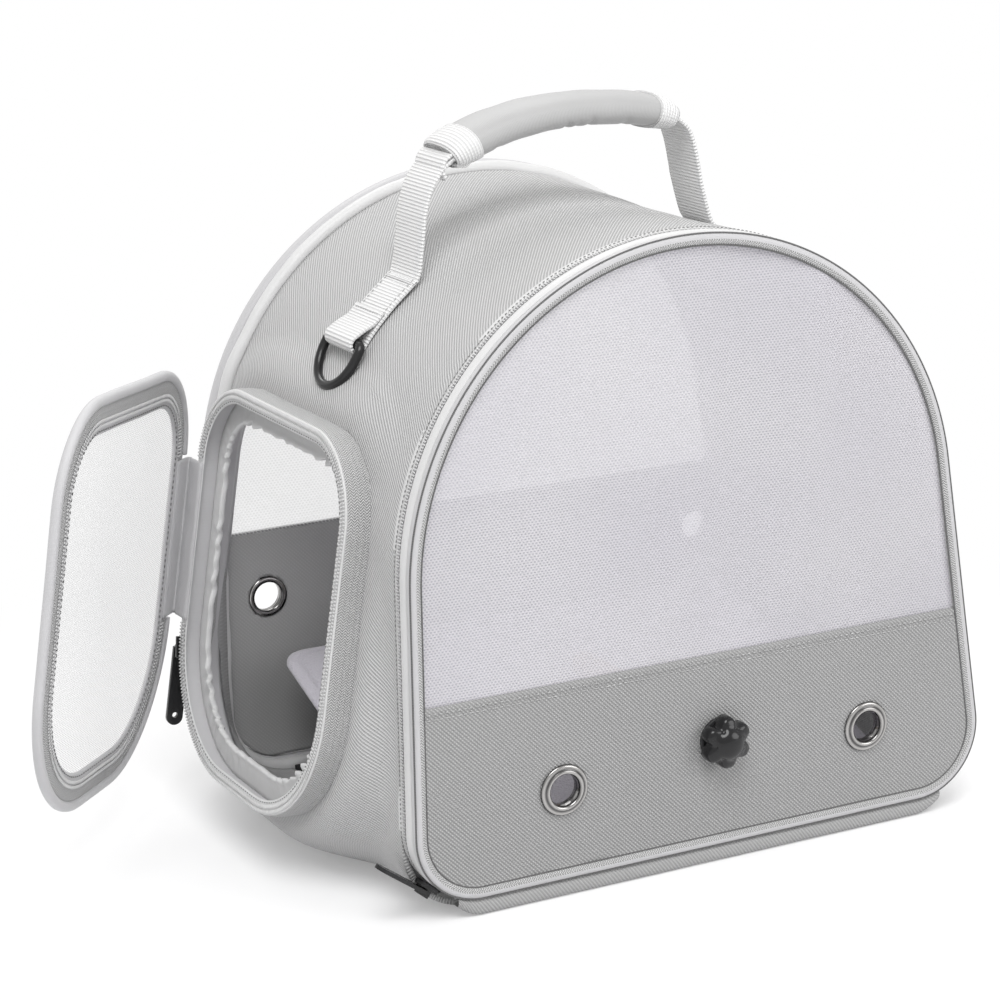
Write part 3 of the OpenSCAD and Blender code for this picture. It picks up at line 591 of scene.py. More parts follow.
# ---- Base and hem
def slab(name, outline_points, profile, body, material, centre, second=None, bumpy=None):
    """A flat pad from its outline (x, y) and a profile of (share of the outline's size, height)."""
    rows = []
    for x, y in outline_points:
        rows.append([(centre[0] + (x - centre[0]) * k, centre[1] + (y - centre[1]) * k,
                      h + (bumpy(x, y, k) if bumpy else 0.0)) for k, h in profile])
    return grid(name, rows, body, material, loop_u=True, second=second, uv=lambda p: (p[0] * MM, p[1] * MM))


def rounded_plan(w, d, r, y_mid, step=6):
    points = []
    for n, (sx, sy) in enumerate([(1, 1), (-1, 1), (-1, -1), (1, -1)]):
        for j in range(10):
            t = math.radians(90 * n + 10 * j)
            points.append((sx * (w / 2 - r) + r * math.cos(t), y_mid + sy * (d / 2 - r) + r * math.sin(t)))
    dense, loop = [], np.array(points + points[:1])
    for a, b in zip(loop[:-1], loop[1:]):
        k = max(1, int(np.linalg.norm(b - a) / step))
        dense += [tuple(a + (b - a) * j / k) for j in range(k)]
    return dense


base = slab("base_fabric", rounded_plan(2 * BASE_HALF, GUSSET_Y1 - GUSSET_Y0, 2, (GUSSET_Y0 + GUSSET_Y1) / 2),
            [(0.0, 0.0), (0.4, 0.0), (0.97, 0.0), (1.0, 0.6), (1.0, 2.4), (0.995, 3.0), (0.4, 3.0), (0.0, 3.0)],
            "carrier_body", "base", (0, (GUSSET_Y0 + GUSSET_Y1) / 2))
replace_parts(base, "base_panel")

hem_rows = []
HEM_HALF = BASE_HALF + 14
for x in np.linspace(-HEM_HALF, HEM_HALF, 110):
    over = max(0.0, abs(x) - BASE_HALF)
    rise = CORNER_R - math.sqrt(CORNER_R ** 2 - over ** 2)
    low = 0.3 + rise + 3.5 * (over / 14) ** 2 + max(0.0, ripple(x, 0, 0, 40, 0.5))
    top = PANEL_FLOOR - 0.5 + rise
    hem_rows.append([(x, FRONT_Y + y, low + (top - low) * share) for y, share in
                     ((3.0, 0.0), (1.9, 0.1), (1.3, 0.34), (1.2, 0.7), (1.8, 0.96), (5.5, 1.0), (6.0, 0.5), (5.5, 0.0))])
hem = grid("front_hem", hem_rows, "carrier_body", "base", loop_v=True)
under = slab("hem_floor", rounded_plan(2 * BASE_HALF - 2, 15.5, 2, -106.8),
             [(0.0, 0.4), (0.5, 0.3), (0.97, 0.2), (1.0, 0.8), (1.0, 6.0), (0.97, 8.4), (0.5, 8.6), (0.0, 8.6)],
             "carrier_body", "base", (0, -106.8))
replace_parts(hem, "base_hem")

# ---- Front zip, tapes and piping
tape_rows = [[o + a * pa + b * pb for pa, pb in round_rect(2.0, 5.0, 0.5, 2)]
             for o, a, b in rim_stations(PANEL_FLOOR, -1.5, -101.8, 3.0, False)]
zip_tape = grid("gusset_tape", tape_rows, "carrier_body", "tape", loop_v=True)
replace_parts(zip_tape, "gusset_zip_tape")


def skirt_profile(_):
    return [(-2.4, -3.15), (-0.3, -3.15), (0.35, -2.6), (0.75, -1.2), (0.8, 0.6), (0.6, 2.2), (0.0, 3.1), (-2.4, 3.1)]


skirt = sweep("front_tape", rim_stations(PANEL_FLOOR, -0.5, -110.7, 2.5, False), skirt_profile, "front_panel",
              "tape", closed=False)
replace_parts(skirt, "front_skirt_tape")
for name, body, y, node in (("gusset_teeth", "carrier_body", -105.1, "gusset_zip_coil"),
                            ("front_teeth", "front_panel", -106.75, "front_zip_coil")):
    line, normals = rim_line(PANEL_FLOOR, -0.2, y, 3.0)
    teeth = strokes(name, tooth_marks(line, 1.5, nearest_normal(line, normals), 0.0, 0.85, 0.5), body, "coil")
    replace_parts(teeth, node)
for name, body, y, out in (("gusset_stitches", "carrier_body", -103.6, 0.35), ("tape_stitches", "front_panel", -107.9, 0.1)):
    line, normals = rim_line(PANEL_FLOOR, out - 0.1, y, 3.0)
    strokes(name, stitch_marks(line, 2.4, nearest_normal(line, normals)), body, "dark_thread")


def piping_profile(_):
    return [(a, b) for a, b in superoval(6.0, 6.0, 0.72, 20)]


piping = sweep("front_rim", rim_stations(PANEL_FLOOR, -3.0, FRONT_Y + 3.0, 2.5), piping_profile, "front_panel",
               "rim", second=("herring", lambda i, j: 10 <= j <= 14))
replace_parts(piping, "front_piping")

# Painted shadow lines: thin dark tubes along the rim's inner and outer edges stand for the shade in the grooves there
for name, out, y in (("rim_shadow_line_inner", -6.0, -118.9), ("rim_shadow_line_outer", -0.1, -119.0)):
    sweep(name, rim_stations(PANEL_FLOOR, out, y, 2.5), lambda i: superoval(0.9, 0.9, 1.0, 8), "front_panel", "seam")

# ---- Windows and bands
EDGES = {}


def edges_at(z, floor, grow):
    """X of the outline's left and right side at a height, shrunk by grow."""
    key = (floor, grow)
    if key not in EDGES:
        x, zz, t = rim(floor, 1.5)
        x, zz = x + grow * np.cos(t), zz + grow * np.sin(t)
        top = np.argmax(zz)
        right, left = (zz[:top + 1], x[:top + 1]), (zz[top:][::-1], x[top:][::-1])
        low = np.argmin(left[0])
        EDGES[key] = right, (left[0][low:], left[1][low:])
    right, left = EDGES[key]
    return np.interp(z, *left), np.interp(z, *right)


def window(name, floor, grow, z0, z1, y, body, material, fold, columns=90, rows=70):
    points = []
    for i in range(rows + 1):
        share = i / rows
        z = z0 + (z1 - z0) * math.sin(share * math.pi / 2)
        left, right = edges_at(z, floor, grow)
        points.append([(x, y + fold(x, z), z) for x in np.linspace(left, right, columns + 1)])
    return grid(name, points, body, material, uv=lambda p: (p[0] * MM, p[2] * MM))


def front_fold(x, z):
    rise = min(1.0, (z - FRONT_BAND_Z) / 25) if z > FRONT_BAND_Z else 0.0
    side = math.exp(-((x - 18) / 16) ** 2) * 2.2 - math.exp(-((x - 62) / 12) ** 2) * 1.4
    return rise * (side + ripple(x, 0, z * 0.35, 34, 1.1))


front_mesh = window("front_mesh", PANEL_FLOOR, -4.6, FRONT_BAND_Z - 3, 315.0, -117.2, "front_panel", "mesh",
                    front_fold)
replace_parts(front_mesh, "front_window_mesh")
back_mesh = window("back_mesh", 4.0, -3.6, BACK_BAND_Z - 3, 316.5, BACK_PANEL_Y - 1.5, "carrier_body", "back_mesh",
                   lambda x, z: ripple(x, 0, z, 45, 1.2))
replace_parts(back_mesh, "back_window_mesh")


def band(name, floor, grow, z_low, z_top, y_front, y_back, holes, body, face, lining, replaced, step=2.0):
    """A band of cloth over the lower part of a panel, with a folded top edge and round holes."""
    count = int((z_top - z_low) / step)
    heights = [z_low + (z_top - z_low) * i / count for i in range(count + 1)]
    away = math.copysign(1.0, y_front - y_back)
    rows = []
    for share in np.linspace(0, 1, int(2 * BODY_HALF / step) + 1):
        line = []
        for z in heights:
            left, right = edges_at(z, floor, grow)
            x = left + (right - left) * share
            soft = ripple(x, 0, z, 60, 0.3) + ripple(x, 2, z, 22, 0.1)
            dip = 0.45 * math.exp(-((z - (z_top - 4.5)) / 0.9) ** 2) + 0.5 * math.exp(-((z - z_top) / 0.5) ** 2)
            line.append((x, y_front + soft - away * dip, z))
        rows.append(line)
    test = lambda c: all(math.hypot(c[0] - x, c[2] - z) > r for x, z, r in holes)
    made = grid(name, rows, body, face, uv=lambda p: (p[0] * MM, p[2] * MM), keep=test,
                second=(lining, lambda i, j: False))
    thicken(made, abs(y_front - y_back), lambda c: (0, away, 0))
    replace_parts(made, replaced)
    return made


front_band = band("front_band", PANEL_FLOOR, -5.0, PANEL_FLOOR + 4.5, FRONT_BAND_Z, PANEL_Y, PANEL_Y + 3,
     [(x, z, 10.5) for x, z in FRONT_EYELETS] + [(FITTING_X, PERCH_Z, 4.0)], "front_panel", "band", "inner",
     "front_band_panel")
back_band = band("back_band", 4.0, -4.2, 9.0, BACK_BAND_Z, BACK_PANEL_Y, BACK_PANEL_Y - 3,
     [(x, z, 10.5) for x, z in BACK_EYELETS], "carrier_body", "band", "inner", "back_band_panel")
left, right = edges_at(FRONT_BAND_Z, PANEL_FLOOR, -6.5)
for name, z, body, y in (("band_seam_1", FRONT_BAND_Z - 3.2, "front_panel", PANEL_Y - 0.1),
                         ("band_seam_2", FRONT_BAND_Z - 5.8, "front_panel", PANEL_Y - 0.1)):
    line = [(x, y + 0.6 * ripple(x, 0, z, 60, 0.5), z) for x in np.linspace(left, right, 80)]
    strokes(name, stitch_marks(line, 3.2, (0, -1, 0), wide=0.36), body, "thread")
left, right = edges_at(BACK_BAND_Z, 4.0, -5.0)
line = [(x, BACK_PANEL_Y + 0.1, BACK_BAND_Z - 4.0) for x in np.linspace(left, right, 80)]
strokes("back_seam", stitch_marks(line, 3.2, (0, 1, 0), wide=0.36), "carrier_body", "thread")


# ---- Back rim
def back_wobble(n, x, z):
    return ripple(x, 0, z, 26, 0.9, 9) + ripple(x, 0, z, 9, 0.25, 4)


back_pipe = sweep("back_piping_tube", rim_stations(4.0, 0.0, PIPING_Y, 2.5, True, back_wobble),
                  lambda i: superoval(8.0, 7.8, 0.85, 16), "carrier_body", "tape")
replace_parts(back_pipe, "back_piping")


def binding_profile(i):
    puff = 0.3 * noise.noise(Vector((i * 0.09, 0, 0)))
    return [(a * (1 + 0.03 * puff), b) for a, b in round_rect(8.0, 8.0, 2.6, 4)]


binding = sweep("back_binding_band", rim_stations(4.0, 0.0, (BINDING_Y0 + BACK_Y) / 2, 2.5), binding_profile,
                "carrier_body", "rim")
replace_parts(binding, "back_binding")


# ---- Door frame on the left side
def door_rows(profile, step=3.0, turned=False, wobble=None, keep=None):
    """Rows of points round the door's outline for a profile of (growth, layer)."""
    rows = []
    for n, (y, z, t) in enumerate(outline(DOOR, 0, step)):
        if keep and not keep(y, z, t):
            continue
        push = wobble(y, z) if wobble else 0.0
        points = [door_point(y, z, t, g + push * w[0] if w else g, layer) for g, layer, *w in profile]
        rows.append([opened(p) for p in points] if turned else points)
    return rows


def door_wave(y, z):
    return ripple(y, z, 0, 30, 1.0, 2)


WALL_PROFILE = [(-0.2, -10.0), (0.0, -4.0), (0.2, 1.0), (0.35, 4.0), (0.35, 7.0), (0.25, 9.5), (0.05, 11.2),
                (-0.4, 12.5), (-1.2, 13.0), (-2.3, 12.9), (-2.9, 12.0), (-3.0, 7.0), (-3.0, 2.0), (-3.0, -6.0)]
wall = grid("door_frame_wall", door_rows([(g, o, 0.35) for g, o in WALL_PROFILE], 2.5, wobble=door_wave),
            "carrier_body", "rim", loop_u=True, loop_v=True, second=("herring", lambda i, j: 1 <= j <= 6))
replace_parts(wall, "door_frame_flange")
ledge = grid("frame_tape", door_rows([(-0.3, 12.7), (-0.8, 13.5), (-4.0, 13.7), (-7.2, 13.6), (-7.9, 13.2), (-7.2, 12.8),
                                      (-3.0, 12.6)], 2.5), "carrier_body", "tape", loop_u=True, loop_v=True)


def beyond_hinge(points, margin=1.0):
    """Places of a line round the door that the fabric hinge leaves free, starting after it."""
    heights = [(p - DOOR_MIDDLE) @ DOOR_UP for p in points]
    free = [not (p[1] > 60 and HINGE_LOW - margin < h < HINGE_HIGH + margin) for p, h in zip(points, heights)]
    start = next(i for i in range(len(free)) if free[i] and not free[i - 1])
    return [points[(start + k) % len(points)] for k in range(len(points)) if free[(start + k) % len(points)]]


def door_line(grow, layer, step=3.0):
    return beyond_hinge([door_point(y, z, t, grow, layer) for y, z, t in outline(DOOR, 0, step)])


def side_normal(points):
    return np.tile(DOOR_OUT, (len(points), 1))


teeth = []
for grow, half in ((-1.9, 1.15), (-4.5, 1.15)):
    teeth += tooth_marks(door_line(grow, 14.1), 1.75, side_normal, 0.0, half, 0.62)
frame_teeth = strokes("frame_teeth", teeth, "carrier_body", "coil")
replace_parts(frame_teeth, "door_frame_coil")
strokes("frame_stitches", stitch_marks(door_line(-6.6, 13.75), 2.6, side_normal), "carrier_body", "dark_thread")

# ---- Gathered collar inside the frame
ring = outline(DOOR, 0, 1.5)
collar_rows = []
for n, (y, z, t) in enumerate(ring):
    s = n / len(ring)
    phase = 2 * math.pi * 58 * s + 5.0 * noise.noise(Vector((s * 26, 1.5, 0)))
    swell_here = max(0.1, 0.55 + 1.1 * noise.noise(Vector((s * 31, 8.5, 0))))
    wave = math.sin(phase) * swell_here
    line = []
    for share in (0.0, 0.18, 0.36, 0.54, 0.7, 0.82, 0.9, 0.96, 1.0):
        reach = 3.1 + share * 14.5 + 1.3 * wave * share ** 3
        bulge = 1.2 * math.exp(-((share - 0.93) / 0.1) ** 2)
        lift = 3.0 + 1.3 * wave * share ** 1.3 + 1.6 * share
        line.append((reach, lift, 0.45 + bulge))
    outer = [door_point(y, z, t, -r, h + k) for r, h, k in line]
    inner = [door_point(y, z, t, -r, h - k) for r, h, k in line[::-1]]
    collar_rows.append(outer + inner)
collar = grid("gathered_collar", collar_rows, "carrier_body", "collar", loop_u=True, loop_v=True)
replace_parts(collar, "elastic_collar")

# ---- Door flap
RIM_PROFILE = [(0.6, 17.9), (-0.5, 17.5), (-3.0, 17.35), (-6.0, 17.35), (-8.0, 17.4), (-10.5, 17.4), (-13.0, 17.8),
               (-13.9, 18.6), (-13.0, 19.6), (-8.0, 20.1), (-3.0, 20.2), (0.6, 19.9)]
flap_rim = grid("flap_tape", door_rows([(g, o, 0.3) for g, o in RIM_PROFILE], 2.5, True, door_wave), "side_door",
                "rim", loop_u=True, loop_v=True, second=("herring", lambda i, j: j <= 3))
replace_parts(flap_rim, "door_rim")
bead = outline(DOOR, 0, 2.5)
free = [i for i, (y, z, t) in enumerate(bead) if not (y > 60 and HINGE_LOW < z < HINGE_HIGH)]
start = next(k for k in range(len(free)) if free[k] != (free[k - 1] + 1) % len(bead))
bead_rows = []
for y, z, t in (bead[i] for i in free[start:] + free[:start]):
    g0 = 2.7 + 0.3 * door_wave(y, z)
    bead_rows.append([opened(door_point(y, z, t, g0 + a, RIM_LAYER + 1.5 + b)) for a, b in superoval(5.4, 5.0, 0.8, 14)])
bead_rows = [[tuple(np.mean(bead_rows[0], axis=0))] * 14] + bead_rows + [[tuple(np.mean(bead_rows[-1], axis=0))] * 14]
flap_bead = grid("flap_edge", bead_rows, "side_door", "trim", loop_v=True)
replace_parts(flap_bead, "door_piping")


def flap_normal(points):
    """Normals of the open flap's inner face."""
    return np.tile(swung(-DOOR_OUT), (len(points), 1))


teeth = []
for grow, half in ((-6.9, 1.0), (-9.3, 1.0)):
    line = [opened(p) for p in door_line(grow, 16.9)]
    teeth += tooth_marks(line, 1.75, flap_normal, 0.0, half, 0.6)
flap_teeth = strokes("flap_teeth", teeth, "side_door", "coil")
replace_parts(flap_teeth, "door_coil")
line = [opened(door_point(y, z, t, -12.0, 17.35)) for y, z, t in outline(DOOR, 0, 3.0)]
strokes("flap_stitches", stitch_marks(line, 3.0, flap_normal, True, wide=0.4), "side_door", "dark_thread")

middle = np.array([(DOOR_FRONT + DOOR_BACK) / 2, 0.0])
mesh_rows, mesh_uv = [], []
for y, z, t in outline(DOOR, -12.6, 3.0):
    row, flat = [], []
    for share in np.linspace(1, 0, 22):
        q = middle + (np.array([y, z]) - middle) * share
        belly = 1.6 * (1 - share ** 2) * noise.noise(Vector((q[0] / 60, q[1] / 60, 3)))
        row.append(opened(on_door(RIM_LAYER + 1.4 + belly, q[0], q[1])))
        flat.append((q[0] * MM, q[1] * MM))
    mesh_rows.append(row)
    mesh_uv.append(flat)
flap_mesh = grid("flap_mesh", mesh_rows, "side_door", "door_mesh", loop_u=True, uv=mesh_uv)
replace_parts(flap_mesh, "door_mesh")

# ---- Fabric hinge of the flap
hinge_rows = []
for height in np.linspace(HINGE_LOW, HINGE_HIGH, 40):
    sway = 0.4 * noise.noise(Vector((height / 14, 0, 0)))
    path = [on_door(o + w * sway, y, height) for o, y, w in
            ((13.9, 94.8, 0.2), (14.0, 98.3, 1), (14.1, 101.8, 1), (14.2, 104.8, 1), (14.6, 107.5, 1),
             (HINGE_OUT - 1.2, HINGE_Y + 1.7, 0), (HINGE_OUT + 0.5, HINGE_Y + 2.1, 0))]
    path += [opened(on_door(o + w * sway, y, height)) for o, y, w in
             ((16.9, 107.6, 0), (17.0, 104.8, 1), (17.0, 101.8, 1), (17.0, 98.3, 1), (17.1, 94.3, 0.2))]
    hinge_rows.append(path)
hinge_fabric = grid("door_hinge_fabric", hinge_rows, None, "rim")
thicken(hinge_fabric, 1.0, lambda c: (-1, 0, 0), offset=0.0)
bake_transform(hinge_fabric)
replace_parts(hinge_fabric, "door_hinge_strip", "frame_hinge_strip")


# ---- Straps, D-rings and handle
def arch_place(side, x_foot, run, height):
    """A point over the arch: run is the way from a strap's foot towards its D-ring."""
    a = math.asin(abs(x_foot - LEAN) / ARCH_R) + run / ARCH_R
    return np.array([LEAN + side * (ARCH_R + height) * math.sin(a), 0.0, ARCH_Z + (ARCH_R + height) * math.cos(a)])


def dense_line(points, step):
    """A smooth line through the points, at an even step."""
    p = np.array(points, float)
    p = np.vstack([2 * p[0] - p[1], p, 2 * p[-1] - p[-2]])
    found = []
    for k in range(1, len(p) - 2):
        m = max(1, int(np.linalg.norm(p[k + 1] - p[k]) / step))
        for j in range(m):
            t = j / m
            found.append(0.5 * (2 * p[k] + (p[k + 1] - p[k - 1]) * t
                                + (2 * p[k - 1] - 5 * p[k] + 4 * p[k + 1] - p[k + 2]) * t * t
                                + (3 * p[k] - p[k - 1] - 3 * p[k + 1] + p[k + 2]) * t ** 3))
    found.append(p[-2])
    return np.array(found)


def ribbon(name, line, width, thick, body, material, section=None):
    """A band of webbing along a line in the XZ plane, with its width along Y."""
    ahead = np.gradient(line, axis=0)
    ahead /= np.linalg.norm(ahead, axis=1, keepdims=True)
    stations = [(o, np.array([0.0, 1.0, 0.0]), np.array([-d[2], 0.0, d[0]])) for o, d in zip(line, ahead)]
    shape = section or (lambda i: round_rect(width, thick, thick * 0.42, 3))
    return sweep(name, stations, shape, body, material, closed=False)


def eased(p):
    middle_points = []
    for a, b in zip(p[:-1], p[1:]):
        middle_points += [0.75 * a + 0.25 * b, 0.25 * a + 0.75 * b]
    return [p[0]] + middle_points + [p[-1]]


COURSE = [(-1.00, 0.00), (-0.96, 0.29), (-0.86, 0.53), (-0.75, 0.66), (-0.48, 0.85), (-0.15, 0.98), (0.30, 1.00),
          (0.65, 0.93), (0.87, 0.76), (0.93, 0.48), (0.98, 0.00)]
handle_line = [np.array([LEAN - 8 + 80 * a, 0.0, HANDLE_Z + HANDLE_RISE * b]) for a, b in COURSE]
handle_line = np.array(eased(eased(handle_line)))
LOOP_RUN, LOOP_H, ANCHOR = 4.7, 4.8, 43.0

for side, foot, word in ((-1, HANDLE_LEFT, "left"), (1, HANDLE_RIGHT, "right")):
    around = [(ANCHOR - 15, 3.4), (ANCHOR - 8, 3.6), (ANCHOR - 2, 6.2)]
    around += [(ANCHOR + LOOP_RUN + 3.75 * math.sin(math.radians(k)), LOOP_H + 3.75 * math.cos(math.radians(k)))
               for k in (-10, 25, 60, 95, 130, 165)]
    around += [(ANCHOR - 3, 1.25), (ANCHOR - 12, 1.2), (ANCHOR * 0.5, 1.2), (6, 1.3)]
    line = [arch_place(side, foot, run, h) for run, h in around]
    sewn = ribbon("strap_sewn_" + word, dense_line(line, 1.6), STRAP_W, 1.9, "carrier_body", "webbing")
    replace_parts(sewn, "strap_anchor_" + word)
    seam = []
    for y in (-12.5, 12.5):
        seam += stitch_marks([arch_place(side, foot, run, 2.35) + (0, y, 0) for run in np.linspace(2, ANCHOR - 16, 12)],
                             3.0, lambda at: np.tile((side * 0.6, 0, 0.8), (len(at), 1)))
    for run in (ANCHOR - 13, ANCHOR - 5):
        seam += stitch_marks([arch_place(side, foot, run, 4.6 if run < ANCHOR - 10 else 5.6) + (0, y, 0)
                              for y in np.linspace(-13, 13, 6)], 2.6, lambda at: np.tile((side * 0.6, 0, 0.8), (len(at), 1)))
    strokes("strap_seam_" + word, seam, "carrier_body", "thread")
    a = math.asin(abs(foot - LEAN) / ARCH_R) + (ANCHOR + LOOP_RUN) / ARCH_R
    along = np.array([side * math.cos(a), 0.0, -math.sin(a)])
    away = np.array([side * math.sin(a), 0.0, math.cos(a)])
    centre = arch_place(side, foot, ANCHOR + LOOP_RUN, LOOP_H)
    tip = math.radians(8)
    flat = along * math.cos(tip) - away * math.sin(tip)
    lift = away * math.cos(tip) + along * math.sin(tip)
    stations = []
    for px, py, t in outline([(3.0, -15.3, 3.0), (6.0, 0.0, 18.3), (3.0, 15.3, 3.0)], 0, 1.2):
        o = centre + flat * px + np.array([0.0, py, 0.0])
        stations.append((o, flat * math.cos(t) + np.array([0.0, math.sin(t), 0.0]), lift))
    ring_piece = sweep("ring_" + word, stations, lambda i: superoval(4.8, 4.8, 1.0, 16), "ring_" + word,
                       "black_metal")
    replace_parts(ring_piece, "d_ring_" + word)

left_foot = [arch_place(-1, HANDLE_LEFT, 9, 1.6), arch_place(-1, HANDLE_LEFT, 3, 2.2) + (0, 0, 1.0)]
right_foot = [arch_place(1, HANDLE_RIGHT, 3, 2.2) + (0, 0, 1.0), arch_place(1, HANDLE_RIGHT, 9, 1.6)]
strap_line = dense_line(left_foot + list(handle_line[::2]) + right_foot, 2.0)
webbing = ribbon("handle_webbing", strap_line, STRAP_W, 1.9, None, "webbing")
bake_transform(webbing)
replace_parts(webbing, "handle_strap")


def grip_section(i, count, line):
    """Soft oval with creases underneath."""
    share = i / (count - 1)
    end = min(share, 1 - share)
    puff = 0.74 + 0.26 * min(1.0, end / 0.07) ** 0.5
    points = []
    for a, b in superoval(36 - (1 - puff) * 14, 16.6 * puff, 0.78, 28):
        crease = 0.0
        if b < 0:
            for at, deep in ((0.52, 1.5), (0.57, 0.9), (0.63, 1.3), (0.80, 0.9), (0.2, 0.6)):
                crease += deep * math.exp(-((share - at - 0.0012 * a) / 0.012) ** 2)
        soft = 0.5 * noise.noise(Vector((share * 9, a / 16, b / 9)))
        points.append((a * (1 + 0.01 * soft), b + crease * min(1, -b / 6 if b < 0 else 0) + soft))
    return points


grip_line = dense_line(handle_line[12:33], 1.6)
grip = ribbon("handle_grip_pad", grip_line, 36, 17, "handle", "grip",
              lambda i: grip_section(i, len(grip_line), grip_line))
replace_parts(grip, "handle_grip")
for word, start, stop in (("left", 0, 9), ("right", len(grip_line) - 7, len(grip_line))):
    ribbon("grip_wrap_" + word, grip_line[start:stop], 36, 17, "handle", "webbing",
           lambda i: [(a * 1.05, b * 1.1) for a, b in grip_section(start + i, len(grip_line), grip_line)])
curl = [(-86, 338), (-87.5, 343), (-85.5, 348), (-80, 350.5), (-74.5, 349.5), (-72.5, 346.5), (-75.5, 344), (-80, 344.6)]
ribbon("strap_curl", dense_line([np.array([x, 0.0, z]) for x, z in curl], 1.0), STRAP_W, 1.8, "handle", "webbing")

# ---- Floor mat and board
mat_profile = [(0.0, 0.0), (0.5, 0.0), (0.9, 0.0), (0.985, 0.2), (1.0, 1.4), (1.0, 2.6), (0.99, 3.7), (0.975, 4.5),
               (0.955, 4.9), (0.946, 4.3), (0.938, 4.9), (0.9, 5.5), (0.7, 5.8), (0.4, 5.9), (0.0, 6.0)]
mat = slab("floor_mat_pad", rounded_plan(277, 195, 12, 97.5), mat_profile, None, "fleece", (0, 97.5),
           bumpy=lambda x, y, k: 0.35 * noise.noise(Vector((x * k / 40, y * k / 40, 1))) if k < 1 else 0.0)
mat.data.transform(Matrix.Translation((0, -0.0933, 0.0058)) @ Matrix.Rotation(math.radians(20), 4, "X"))
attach(mat, "mat")
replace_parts(mat, "floor_mat")
finish_node("base_board", "board")

# ---- Areas of the cloth's flat cuts, computed and not kept
def enclosed(points):
    """Area inside a closed line of flat points."""
    a, b = np.array([p[:2] for p in points]).T
    return abs(a @ np.roll(b, -1) - b @ np.roll(a, -1)) / 2 * MM ** 2


def cut_area(z0, z1, floor, grow):
    """Area of the body's outline between two heights."""
    heights = np.linspace(z0, z1, 200)
    left, right = edges_at(heights, floor, grow)
    return float((right - left).mean() * (z1 - z0)) * MM ** 2


hoop = np.array([(x, z) for x, z, t in zip(*rim(0, 3.0, False))])
hoop_run = float(np.linalg.norm(np.diff(hoop, axis=0), axis=1).sum()) * MM
depth = (GUSSET_Y1 - SIDE_Y0) * MM
eyelet_area = math.pi * 10.5 ** 2 * MM ** 2
depth * hoop_run - enclosed(outline(DOOR, -1.6))
cut_area(FRONT_BAND_Z - 3, 315.0, PANEL_FLOOR, -4.6)
cut_area(BACK_BAND_Z - 3, 316.5, 4.0, -3.6)
cut_area(PANEL_FLOOR + 4.5, FRONT_BAND_Z, PANEL_FLOOR, -5.0) - 2 * eyelet_area
cut_area(9.0, BACK_BAND_Z, 4.0, -4.2) - 2 * eyelet_area
enclosed(outline(DOOR, -12.6))

# ---- Hard parts
for node, body, material, node_slot, width in (
        ("front_zip_slider", "front_slider", "black_metal", "black_metal", 0.4),
        ("front_zip_puller", "front_puller", "black_metal", "black_metal", 0.5),
        ("door_zip_slider", "door_slider", "black_metal", "black_metal", 0.4),
        ("door_zip_puller", "door_puller", "black_metal", "black_metal", 0.5),
        ("perch_washer_outer", "knob_washer", "washer", "washer_plastic", 0.3)):
    rounded_copy(node, body, material, width)


def star(a, share):
    """Radius of the knob at an angle; share is 1 on its lobed rim and 0 on its round crown."""
    valley = (0.5 + 0.5 * math.cos(6 * a)) ** 1.8
    return 13.4 * (1 - 0.25 * share * valley)


KNOB = [(0.0, 121.2, 0), (0.6, 121.2, 0.5), (0.92, 121.3, 1), (1.0, 122.4, 1), (1.0, 126.0, 1), (0.985, 128.0, 1), (0.93, 129.2, 1),
        (0.84, 129.8, 0.95), (0.74, 130.1, 0.8), (0.66, 130.5, 0.45), (0.58, 131.4, 0.1), (0.5, 132.4, 0), (0.38, 133.3, 0), (0.22, 133.9, 0), (0.0, 134.1, 0)]
knob_rows = []
for k in range(96):
    a = 2 * math.pi * k / 96
    knob_rows.append([(FITTING_X + star(a, part) * r * math.cos(a), -y, PERCH_Z + star(a, part) * r * math.sin(a))
                      for r, y, part in KNOB])
knob = grid("knob_star", knob_rows, "knob", "knob", loop_u=True)
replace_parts(knob, "star_knob")

RING = [(8.0, -4.0), (8.0, -1.5), (8.0, 0.8), (8.25, 1.7), (8.9, 2.3), (9.7, 2.4), (10.3, 2.0), (10.7, 1.55), (11.3, 1.6),
        (12.1, 1.6), (12.7, 1.2), (13.0, 0.6), (12.9, 0.5), (9.3, 0.5), (9.3, -3.4), (11.0, -3.4), (11.0, -4.0)]
for places, node, body, y, way in ((FRONT_EYELETS, "front_eyelets", "front_panel", PANEL_Y, -1),
                                   (BACK_EYELETS, "back_eyelets", "carrier_body", BACK_PANEL_Y, 1)):
    for (x, z), word in zip(places, ("left", "right")):
        turns = [2 * math.pi * k / 64 for k in range(64)]
        ring_rows = [[(x + r * math.cos(a), y + way * h, z + r * math.sin(a)) for r, h in RING] for a in turns]
        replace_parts(grid(node + "_" + word, ring_rows, body, "chrome", loop_u=True, loop_v=True), node)
finish_node("perch_dowel", "wood")
finish_node("perch_stud", "steel")
finish_node("perch_washer_inner", "washer")


